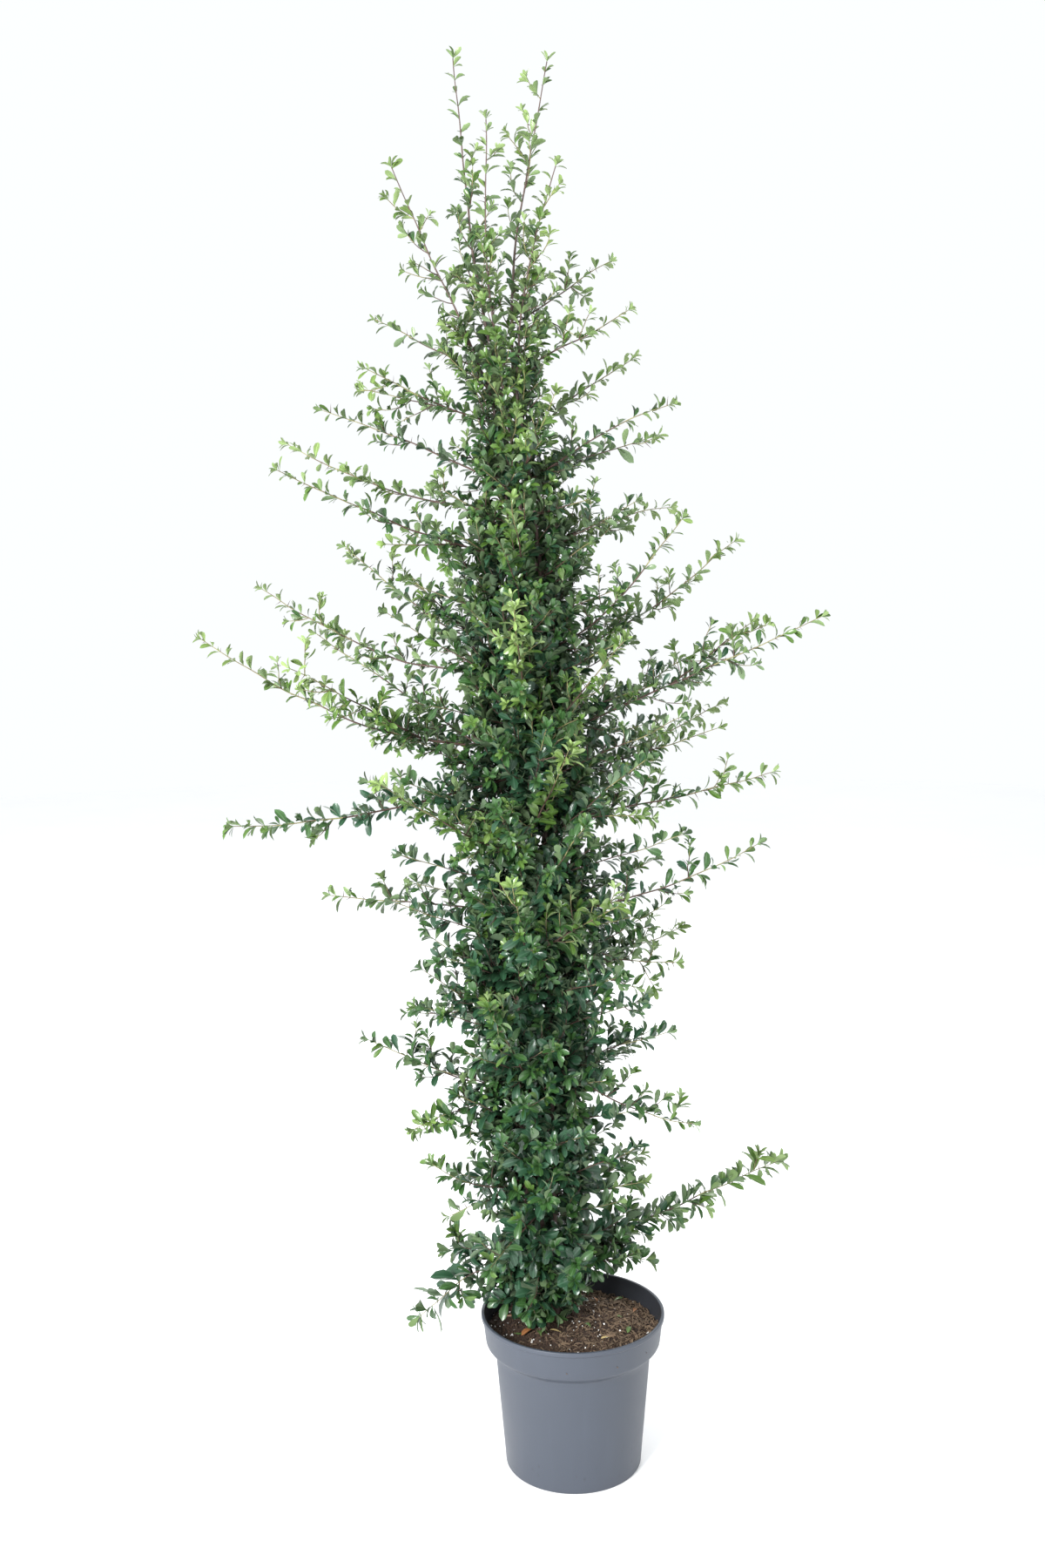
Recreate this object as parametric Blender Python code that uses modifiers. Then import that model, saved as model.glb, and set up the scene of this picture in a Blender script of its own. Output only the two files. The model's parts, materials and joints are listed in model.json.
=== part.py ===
"""Firethorn shrub in its nursery pot, about 2.3 m high: the construction, in metres, +Z up.

The origin is the centre of the pot's flat underside. X runs to the right as seen from the
front, and Y away from the front. A short trunk forks into five upright boughs, and each
mass of foliage is a shoot with its own twigs and leaves that stands out from one bough.
"""
import math
import random
from collections import namedtuple

import bmesh
import bpy
from mathutils import Matrix, Quaternion, Vector
from mathutils.bvhtree import BVHTree
from mathutils.kdtree import KDTree

OBJECT_NAME = "firethorn_shrub"
GAP = 0.0003
MERGE = 0.00005
UP = Vector((0.0, 0.0, 1.0))

# Pot: a deep band under a rolled lip, over a tapered lower wall
POT_HEIGHT = 0.265
POT_RIM_RADIUS = 0.154
POT_BAND_TOP_RADIUS = 0.1505
POT_BAND_BOTTOM_RADIUS = 0.1465
POT_BAND_DEPTH = 0.053
POT_SHOULDER_RADIUS = 0.1305
POT_SHOULDER_DROP = 0.013
POT_FOOT_RADIUS = 0.1144
POT_WALL = 0.0026
POT_FLOOR = 0.0030
POT_LIP_DEPTH = 0.009
POT_LIP_ROUNDING = 0.0023
POT_LIP_UNDERCUT = 0.0018
POT_BAND_ROUNDING = 0.0045
POT_FOOT_ROUNDING = 0.004
POT_FOOT_FLARE = 0.0004
POT_SIDES = 36

# Soil: a filled plug, highest and flat round the trunk
SOIL_TOP = 0.240
SOIL_EDGE_DROP = 0.008
SOIL_FLAT_RADIUS = 0.075
SOIL_SLOPE_AT = 0.60
SOIL_SLOPE_DROP = 0.35

# Crown axis: the line that the five boughs keep to
FOOT_X = -0.026
FOOT_Y = 0.030
FOOT_Y_FADE = 0.30
SIDE_STEP = 0.0274
SIDE_STEP_FADE = 0.12
SIDE_DRIFT = 0.0109
TOP_LEAN = 0.055
TOP_LEAN_FROM = 1.50
TOP_LEAN_SPAN = 0.55

# Trunk: a flared foot on the soil, with its flat top under the boughs
TRUNK_TOP = 0.315
TRUNK_FLARE_RADIUS = 0.0215
TRUNK_TOP_RADIUS = 0.0155
TRUNK_FLARE_FADE = 0.014
TRUNK_LOBES = 3
TRUNK_LOBE_SWELL = 0.06
TRUNK_STEPS = 6
TRUNK_SIDES = 12

# Boughs: a close ring that opens out near the top, each tapering to where its tip mass starts
BOUGH_FOOT_RADIUS = 0.0048
BOUGH_TIP_RADIUS = 0.0021
BOUGH_REFERENCE_TOP = 1.95
BOUGH_STRAIGHT = 0.005
BOUGH_STEPS = 13
BOUGH_CROWDING = 1.2
BOUGH_RESOLUTION = 2
RING_FOOT = 0.0092
RING_WIDE = 0.0270
RING_OPENS_OVER = 0.08
RING_NARROWS_FROM = 1.30
RING_NARROWS_SPAN = 0.58
RING_NARROWS_BY = 0.009
FAN_FROM = 1.75
FAN_POWER = 1.3
TIP_MASS_HEIGHT = 0.25

# Foliage: three-sided stems that carry leaves, from a dense heart in the crown's column
COLLAR = 0.006
STEM_STEP = 0.085
STEM_ROOT_RADIUS = 0.0031
STEM_TIP_RADIUS = 0.0014
STEM_SIDES = 3
STEM_LEAST_STEPS = 3
TIP_STEM_STEPS = 4
FORK_RADIUS_SHARE = 0.75
FIRST_STATION = 0.075
FORK_FIRST_STATION = 0.045
STATION = 0.042
TIP_FIRST_STATION = 0.022
TIP_STATION = 0.032
LEAF_LENGTH = 0.056
LEAF_WIDTH = 0.026
LEAF_THICKNESS = 0.0036
LEAF_WIDEST = 0.60
LEAF_TIP_SHARE = 0.66
TIP_MASS_SHARE = 0.72
LEAF_LEAN = math.radians(50)
LEAF_SINK_SHARE = 0.35
TIP_LEAF_SINK = 0.012
GOLDEN_ANGLE = math.radians(137.5)
SIZE_SPREAD = 0.16
ROLL_SPREAD = 0.7

# Heart of a mass: half its reach outwards, sideways and upwards, and the leaves on it
HEART_FROM_AXIS = 0.060
HEART_HALF_SIZE = (0.036, 0.066, 0.105)
HEART_TOP_SCALE = 0.72
HEART_FADES_FROM = 1.45
HEART_FADES_OVER = 0.40
HEART_SIDES = 6
HEART_ROWS = 4
HEART_ROUGHNESS = 0.14
HEART_SHRINK = 0.88
HEART_TRIES = 12
HEART_LEAVES = 6
HEART_LEAF_SINK = 0.008
HEART_LEAF_RISE = 0.35
HEART_LEAF_SPREAD = math.radians(85)

# Room that each mass keeps to its neighbours, the limbs and the pot
SPACE_MARGIN = 0.004
LIMB_CLEARANCE = 0.003
POT_CLEARANCE = 0.004
SAMPLE_STEP = 0.006
LEAF_CHECKS = 6
FACE_CHECKS = 4
FACE_CHECK_SHARES = (0.0, 0.4, 0.8)

Bough = namedtuple("Bough", "name heading tip")
Shoot = namedtuple("Shoot", "name bough height heading reach rise bow")
Fork = namedtuple("Fork", "shoot at heading reach rise")

# Headings are in degrees, counter-clockwise from +X; a bough's tip is where its mass ends
BOUGHS = (
    Bough("bough_left", 185, (-0.265, -0.020, 2.111)),
    Bough("bough_back", 110, (-0.172, 0.050, 2.289)),
    Bough("bough_front", 265, (-0.120, -0.050, 2.171)),
    Bough("bough_back_right", 40, (-0.026, 0.040, 2.279)),
    Bough("bough_right", 335, (-0.015, -0.040, 2.108)),
)

# A shoot leaves its bough at a height, reaches out level, rises and bows up or down
SHOOTS = (
    Shoot("shoot_left_01", "bough_left", 1.815, 150, 0.195, 0.090, 0.000),
    Shoot("shoot_left_02", "bough_left", 1.730, 200, 0.205, 0.075, -0.005),
    Shoot("shoot_left_03", "bough_left", 1.640, 172, 0.285, 0.115, 0.005),
    Shoot("shoot_left_04", "bough_left", 1.600, 158, 0.390, 0.110, -0.025),
    Shoot("shoot_left_05", "bough_left", 1.520, 205, 0.375, 0.130, -0.010),
    Shoot("shoot_left_06", "bough_back", 1.355, 145, 0.365, 0.190, -0.020),
    Shoot("shoot_left_07", "bough_left", 1.335, 168, 0.415, 0.140, -0.035),
    Shoot("shoot_left_08", "bough_left", 1.220, 190, 0.480, 0.180, -0.045),
    Shoot("shoot_left_09", "bough_left", 1.170, 206, 0.460, -0.045, -0.015),
    Shoot("shoot_left_10", "bough_front", 1.045, 230, 0.335, 0.155, -0.010),
    Shoot("shoot_left_11", "bough_left", 0.950, 155, 0.350, 0.000, 0.000),
    Shoot("shoot_left_12", "bough_left", 0.775, 195, 0.155, 0.090, -0.010),
    Shoot("shoot_left_13", "bough_left", 0.635, 172, 0.250, 0.090, -0.005),
    Shoot("shoot_left_14", "bough_left", 0.480, 212, 0.175, 0.075, -0.015),
    Shoot("shoot_left_15", "bough_left", 0.335, 190, 0.200, -0.070, 0.030),
    Shoot("shoot_right_01", "bough_back_right", 1.885, 25, 0.170, 0.105, 0.000),
    Shoot("shoot_right_02", "bough_right", 1.810, -12, 0.170, 0.080, 0.000),
    Shoot("shoot_right_03", "bough_back_right", 1.710, 36, 0.225, 0.135, 0.005),
    Shoot("shoot_right_04", "bough_right", 1.645, -18, 0.225, 0.105, 0.010),
    Shoot("shoot_right_05", "bough_back_right", 1.540, 40, 0.295, 0.065, 0.005),
    Shoot("shoot_right_06", "bough_right", 1.375, -25, 0.230, 0.200, -0.030),
    Shoot("shoot_right_07", "bough_back_right", 1.345, 20, 0.345, 0.200, -0.015),
    Shoot("shoot_right_08", "bough_right", 1.235, -8, 0.430, 0.190, 0.000),
    Shoot("shoot_right_09", "bough_back_right", 1.155, 40, 0.420, 0.105, -0.005),
    Shoot("shoot_right_10", "bough_right", 1.100, 0, 0.360, 0.075, -0.005),
    Shoot("shoot_right_11", "bough_right", 0.945, -18, 0.335, 0.130, -0.015),
    Shoot("shoot_right_12", "bough_back_right", 0.865, 35, 0.285, 0.010, -0.015),
    Shoot("shoot_right_13", "bough_right", 0.695, -10, 0.230, -0.090, -0.020),
    Shoot("shoot_right_14", "bough_back_right", 0.450, 30, 0.175, 0.040, -0.005),
    Shoot("shoot_right_15", "bough_back_right", 0.345, 26, 0.455, 0.085, 0.020),
    Shoot("shoot_front_01", "bough_front", 1.640, -64, 0.130, 0.120, 0.000),
    Shoot("shoot_front_02", "bough_front", 1.490, -98, 0.145, 0.115, 0.000),
    Shoot("shoot_front_03", "bough_front", 1.280, -96, 0.210, 0.180, 0.000),
    Shoot("shoot_front_04", "bough_front", 1.215, -49, 0.215, 0.180, 0.000),
    Shoot("shoot_front_05", "bough_front", 1.090, -73, 0.200, 0.150, 0.000),
    Shoot("shoot_front_06", "bough_front", 0.860, -98, 0.205, 0.175, 0.000),
    Shoot("shoot_front_07", "bough_front", 0.660, -110, 0.200, 0.185, 0.000),
    Shoot("shoot_front_08", "bough_front", 0.440, -120, 0.160, -0.030, 0.000),
    Shoot("shoot_back_01", "bough_back", 1.740, 100, 0.190, 0.110, 0.000),
    Shoot("shoot_back_02", "bough_back", 1.570, 72, 0.260, 0.120, -0.010),
    Shoot("shoot_back_03", "bough_back", 1.440, 118, 0.310, 0.140, -0.020),
    Shoot("shoot_back_04", "bough_back", 1.215, 82, 0.350, 0.150, -0.020),
    Shoot("shoot_back_05", "bough_back", 1.020, 112, 0.330, 0.080, -0.015),
    Shoot("shoot_back_06", "bough_back", 0.830, 74, 0.280, 0.070, -0.010),
    Shoot("shoot_back_07", "bough_back", 0.640, 115, 0.250, 0.060, -0.010),
    Shoot("shoot_back_08", "bough_back", 0.430, 85, 0.220, 0.050, 0.000),
)

# A fork leaves its shoot's stem at a share of the reach
FORKS = (
    Fork("shoot_left_02", 0.35, 150, 0.165, 0.040),
    Fork("shoot_left_05", 0.25, 225, 0.145, 0.000),
    Fork("shoot_left_06", 0.25, 190, 0.120, 0.120),
    Fork("shoot_left_08", 0.12, 150, 0.320, 0.175),
    Fork("shoot_left_08", 0.30, 225, 0.255, 0.125),
    Fork("shoot_left_12", 0.15, 160, 0.170, -0.015),
    Fork("shoot_left_13", 0.10, 205, 0.160, -0.035),
    Fork("shoot_left_14", 0.15, 160, 0.110, -0.065),
    Fork("shoot_left_15", 0.15, 150, 0.145, -0.005),
    Fork("shoot_right_01", 0.20, -15, 0.085, -0.045),
    Fork("shoot_right_04", 0.15, 25, 0.190, 0.050),
    Fork("shoot_right_05", 0.15, -30, 0.085, 0.025),
    Fork("shoot_right_08", 0.45, 25, 0.150, 0.095),
    Fork("shoot_right_08", 0.12, 28, 0.235, 0.115),
    Fork("shoot_right_09", 0.15, -15, 0.240, 0.080),
    Fork("shoot_right_10", 0.10, -40, 0.130, 0.015),
    Fork("shoot_right_12", 0.10, -15, 0.195, 0.005),
    Fork("shoot_right_13", 0.10, 25, 0.155, 0.050),
    Fork("shoot_right_14", 0.15, -20, 0.130, 0.035),
    Fork("shoot_front_06", 0.20, -40, 0.185, 0.110),
)

LEAF_GREEN = (0.045, 0.105, 0.050)
YOUNG_GREEN = (0.180, 0.330, 0.070)
LEAF_ROUGHNESS = 0.45
BARK_BROWN = (0.110, 0.060, 0.040)
BARK_ROUGHNESS = 0.75
POT_GREY = (0.175, 0.190, 0.215)
POT_ROUGHNESS = 0.5
SOIL_BROWN = (0.075, 0.045, 0.030)
SOIL_ROUGHNESS = 0.95


def smooth_step(t):
    """A rise from 0 to 1 with level ends."""
    t = min(max(t, 0.0), 1.0)
    return t * t * (3.0 - 2.0 * t)


def unit(heading):
    """The level direction of a heading in degrees."""
    return Vector((math.cos(math.radians(heading)), math.sin(math.radians(heading)), 0.0))


def crown_axis(z):
    """The crown's middle line at a height."""
    h = max(0.0, z - SOIL_TOP)
    x = FOOT_X - SIDE_STEP * (1.0 - math.exp(-h / SIDE_STEP_FADE)) - SIDE_DRIFT * h
    x -= TOP_LEAN * smooth_step((z - TOP_LEAN_FROM) / TOP_LEAN_SPAN)
    return Vector((x, FOOT_Y * math.exp(-h / FOOT_Y_FADE), z))


def ring_radius(z):
    """How far the boughs stand from the crown's middle line."""
    h = max(0.0, z - TRUNK_TOP - BOUGH_STRAIGHT)
    opened = (RING_WIDE - RING_FOOT) * (1.0 - math.exp(-h / RING_OPENS_OVER))
    narrowed = min(max((z - RING_NARROWS_FROM) / RING_NARROWS_SPAN, 0.0), 1.0)
    return RING_FOOT + opened - RING_NARROWS_BY * narrowed


def bough_point(bough, z):
    """The middle of a bough, and of the mass at its tip, at a height."""
    tip = Vector(bough.tip)
    at_tip = crown_axis(tip.z) + ring_radius(tip.z) * unit(bough.heading)
    here = crown_axis(max(z, TRUNK_TOP + BOUGH_STRAIGHT))
    here.z = z
    fan = max(0.0, (z - FAN_FROM) / (tip.z - FAN_FROM)) ** FAN_POWER
    return here + ring_radius(z) * unit(bough.heading) + (tip - at_tip) * fan


def on_line(points, z):
    """The place on a line of points at a height, and the line's direction there."""
    i = 1
    while i < len(points) - 1 and points[i].z < z:
        i += 1
    low, high = points[i - 1], points[i]
    return low.lerp(high, (z - low.z) / (high.z - low.z)), (high - low).normalized()


def bough_radius(z):
    """A bough's radius at a height."""
    share = (z - TRUNK_TOP) / (BOUGH_REFERENCE_TOP - TRUNK_TOP)
    return BOUGH_FOOT_RADIUS + (BOUGH_TIP_RADIUS - BOUGH_FOOT_RADIUS) * share


def bough_end(bough):
    """The height where a bough ends and the mass at its tip starts."""
    return bough.tip[2] - TIP_MASS_HEIGHT


def bough_points(bough):
    """Points up a bough, closer together near its foot."""
    low = TRUNK_TOP + GAP
    span = bough_end(bough) - low
    heights = [low + BOUGH_STRAIGHT]
    heights += [low + span * (i / BOUGH_STEPS) ** BOUGH_CROWDING for i in range(2, BOUGH_STEPS + 1)]
    foot = bough_point(bough, low + BOUGH_STRAIGHT)
    foot.z = low
    return [foot] + [bough_point(bough, z) for z in heights]


def trunk_radius(h):
    """The trunk's radius at a height above its flat cut."""
    flare = (TRUNK_FLARE_RADIUS - TRUNK_TOP_RADIUS) * math.exp(-h / TRUNK_FLARE_FADE)
    return TRUNK_TOP_RADIUS + flare


def trunk_sections():
    """Centre and radius of each level section of the trunk."""
    low = SOIL_TOP + GAP
    sections = []
    for i in range(TRUNK_STEPS + 1):
        z = low + (TRUNK_TOP - low) * i / TRUNK_STEPS
        sections.append((crown_axis(z), trunk_radius(z - low)))
    return sections


def reach_out(start, heading, reach, rise, bow):
    """Points of a stem that reaches out from a start."""
    steps = max(STEM_LEAST_STEPS, round(reach / STEM_STEP))
    points = []
    for i in range(steps + 1):
        t = i / steps
        height = rise * t + bow * math.sin(math.pi * t)
        points.append(start + unit(heading) * (reach * t) + UP * height)
    return points


def shoot_stem(shoot):
    """Points of a shoot's stem, square to its bough at first and just clear of it."""
    bough = next(b for b in BOUGHS if b.name == shoot.bough)
    centre, along = on_line(bough_points(bough), shoot.height)
    outward = unit(shoot.heading)
    outward = (outward - along * outward.dot(along)).normalized()
    root = centre + outward * (bough_radius(shoot.height) + GAP)
    collar = root + outward * COLLAR
    return [root] + reach_out(collar, shoot.heading, shoot.reach - COLLAR, shoot.rise, shoot.bow)


def fork_stem(fork, shoot):
    """Points of a fork's stem, from inside its shoot's stem."""
    main = shoot_stem(shoot)[1:]
    place = fork.at * (len(main) - 1)
    low = int(place)
    start = main[low].lerp(main[low + 1], place - low)
    return reach_out(start, fork.heading, fork.reach, fork.rise, 0.0)


def tip_stem(bough):
    """Points of the stem that carries a bough on to its tip."""
    ended = bough_points(bough)
    along = (ended[-1] - ended[-2]).normalized()
    start = ended[-1] + along * GAP
    low = bough_end(bough)
    rise = (bough.tip[2] - low) / TIP_STEM_STEPS
    upper = [bough_point(bough, low + rise * i) for i in range(1, TIP_STEM_STEPS + 1)]
    return [start, start + along * COLLAR] + upper


def walk(points, first, step):
    """Yield place, direction and share of the way at even steps along points."""
    lengths = [(b - a).length for a, b in zip(points, points[1:])]
    total = sum(lengths)
    at = first
    while at <= total:
        left = at
        for a, b, length in zip(points, points[1:], lengths):
            if left <= length or b is points[-1]:
                break
            left -= length
        yield a + (b - a) * (left / length), (b - a).normalized(), at / total
        at += step


def collection(name):
    """A new collection in the scene."""
    made = bpy.data.collections.new(name)
    bpy.context.scene.collection.children.link(made)
    return made


def material(name, colour, roughness):
    """A plain finish."""
    made = bpy.data.materials.new(name)
    made.use_nodes = True
    shader = made.node_tree.nodes["Principled BSDF"]
    shader.inputs["Base Color"].default_value = (*colour, 1.0)
    shader.inputs["Roughness"].default_value = roughness
    shader.inputs["Metallic"].default_value = 0.0
    made.diffuse_color = (*colour, 1.0)
    return made


def mesh_object(name, mesh, home, finish):
    """An object for a mesh, in its collection and with its finish."""
    made = bpy.data.objects.new(name, mesh)
    home.objects.link(made)
    mesh.materials.clear()
    mesh.materials.append(finish)
    return made


def turned(name, profile, sides, home, finish):
    """A solid turned about Z from a profile that runs down its outer side."""
    mesh = bpy.data.meshes.new(name)
    points = [(x, 0.0, z) for x, z in profile]
    mesh.from_pydata(points, [(i, i + 1) for i in range(len(points) - 1)], [])
    made = mesh_object(name, mesh, home, finish)
    screw = made.modifiers.new("Turn", "SCREW")
    screw.steps = sides
    screw.render_steps = sides
    screw.use_merge_vertices = True
    screw.merge_threshold = MERGE
    screw.use_smooth_shade = True
    return made


def three_sided(home):
    """The three-sided section that stems are drawn with."""
    curve = bpy.data.curves.new("stem_section", "CURVE")
    spline = curve.splines.new("POLY")
    spline.points.add(STEM_SIDES - 1)
    for i, place in enumerate(spline.points):
        angle = -math.tau * i / STEM_SIDES
        place.co = (math.cos(angle), math.sin(angle), 0.0, 1.0)
    spline.use_cyclic_u = True
    section = bpy.data.objects.new("stem_section", curve)
    section.hide_render = True
    section.display_type = "WIRE"
    home.objects.link(section)
    return section


def tube(name, points, radii, section, home, finish):
    """A tapering limb along points, round or of a given section, as a closed mesh."""
    curve = bpy.data.curves.new(name, "CURVE")
    curve.dimensions = "3D"
    curve.bevel_depth = 1.0
    curve.bevel_resolution = BOUGH_RESOLUTION
    curve.use_fill_caps = True
    if section:
        curve.bevel_mode = "OBJECT"
        curve.bevel_object = section
    spline = curve.splines.new("POLY")
    spline.points.add(len(points) - 1)
    for place, point, radius in zip(spline.points, points, radii):
        place.co = (*point, 1.0)
        place.radius = radius
    line = bpy.data.objects.new(name + "_line", curve)
    home.objects.link(line)
    graph = bpy.context.evaluated_depsgraph_get()
    mesh = bpy.data.meshes.new_from_object(line.evaluated_get(graph))
    bpy.data.objects.remove(line)
    shape = bmesh.new()
    shape.from_mesh(mesh)
    bmesh.ops.remove_doubles(shape, verts=shape.verts, dist=MERGE)
    bmesh.ops.recalc_face_normals(shape, faces=shape.faces)
    shape.to_mesh(mesh)
    shape.free()
    mesh.name = name
    return mesh_object(name, mesh, home, finish)


def tapered(count, root, tip):
    """Radii that run evenly from root to tip."""
    return [root + (tip - root) * i / (count - 1) for i in range(count)]


def blade_mesh(name, rows):
    """A flat three-sided form along +Z from rows of height, half width and thickness."""
    mesh = bpy.data.meshes.new(name)
    steps = len(rows) - 1
    shape = bmesh.new()
    bmesh.ops.create_uvsphere(shape, u_segments=STEM_SIDES, v_segments=steps, radius=1.0)
    for vert in shape.verts:
        height, half_width, thickness = rows[round(math.acos(-vert.co.z) / math.pi * steps)]
        angle = math.atan2(vert.co.y, vert.co.x)
        vert.co = Vector((math.cos(angle) * half_width, math.sin(angle) * thickness, height))
    bmesh.ops.recalc_face_normals(shape, faces=shape.faces)
    shape.to_mesh(mesh)
    shape.free()
    return mesh


def leaf_mesh():
    """One leaf along +Z from its root, with a triangle for its section."""
    half_width = LEAF_WIDTH / 2.0 / math.cos(math.radians(30))
    half_thickness = LEAF_THICKNESS / (1.0 + math.sin(math.radians(30)))
    widest = (LEAF_LENGTH * LEAF_WIDEST, half_width, half_thickness)
    return blade_mesh("leaf", [(0.0, 0.0, 0.0), widest, (LEAF_LENGTH, 0.0, 0.0)])


def placed(start, direction, roll, scale):
    """The matrix that lays a shape made along +Z out from a start."""
    turn = direction.to_track_quat("Z", "Y").to_matrix().to_4x4()
    return Matrix.Translation(start) @ turn @ Matrix.Rotation(roll, 4, "Z") @ Matrix.Scale(scale, 4)


class Room:
    """The space round every stem and limb, and which mass each place belongs to."""

    def __init__(self, stems):
        samples = [(p, name) for name, lines in stems.items() for line in lines for p in self.dense(line)]
        self.owners = [name for _, name in samples]
        self.all = self.tree([p for p, _ in samples])
        self.own = {name: self.tree([p for p, owner in samples if owner == name]) for name in stems}
        limbs = [(c, r) for c, r in trunk_sections()]
        for bough in BOUGHS:
            limbs += [(p, bough_radius(p.z)) for p in self.dense(bough_points(bough))]
        self.limb_radii = [r for _, r in limbs]
        self.limbs = self.tree([c for c, _ in limbs])

    @staticmethod
    def dense(line):
        """Points close together along a line."""
        return [p for p, _, _ in walk(line, 0.0, SAMPLE_STEP)] + [line[-1]]

    @staticmethod
    def tree(points):
        """A search tree of points."""
        made = KDTree(len(points))
        for i, point in enumerate(points):
            made.insert(point, i)
        made.balance()
        return made

    def clear_of_pot(self, place):
        """True where a place is outside the pot, over its rim or over the soil."""
        from_middle = math.hypot(place.x, place.y)
        if from_middle > POT_RIM_RADIUS + POT_CLEARANCE:
            return place.z > POT_CLEARANCE
        over_soil = from_middle < POT_SHOULDER_RADIUS - POT_CLEARANCE
        return place.z > (SOIL_TOP if over_soil else POT_HEIGHT) + POT_CLEARANCE

    def free(self, name, places):
        """True where every place is in the mass's own space and touches no limb."""
        for place in places:
            if not self.clear_of_pot(place):
                return False
            _, i, far = self.limbs.find(place)
            if far < self.limb_radii[i] + LIMB_CLEARANCE:
                return False
            reach = self.own[name].find(place)[2] + SPACE_MARGIN
            if any(self.owners[i] != name for _, i, _ in self.all.find_range(place, reach)):
                return False
        return True


def leaf_places(matrix):
    """Places along the middle and the edges of a leaf."""
    step = LEAF_LENGTH / LEAF_CHECKS
    places = [Vector((0.0, 0.0, step * i)) for i in range(2, LEAF_CHECKS + 1)]
    widest = LEAF_LENGTH * LEAF_WIDEST
    for half in (-LEAF_WIDTH / 2, LEAF_WIDTH / 2):
        places.append(Vector((half, 0.0, widest)))
        places.append(Vector((half / 2, 0.0, widest / 2)))
        places.append(Vector((half / 2, 0.0, (LEAF_LENGTH + widest) / 2)))
    return [matrix @ place for place in places]


def face_places(face):
    """Places spread over a face, from its edges to its middle."""
    middle = face.calc_center_median()
    corners = [vert.co for vert in face.verts]
    pairs = zip(corners, corners[1:] + corners[:1])
    edges = [a.lerp(b, i / FACE_CHECKS) for a, b in pairs for i in range(FACE_CHECKS)]
    return [edge.lerp(middle, share) for edge in edges for share in FACE_CHECK_SHARES]


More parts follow.
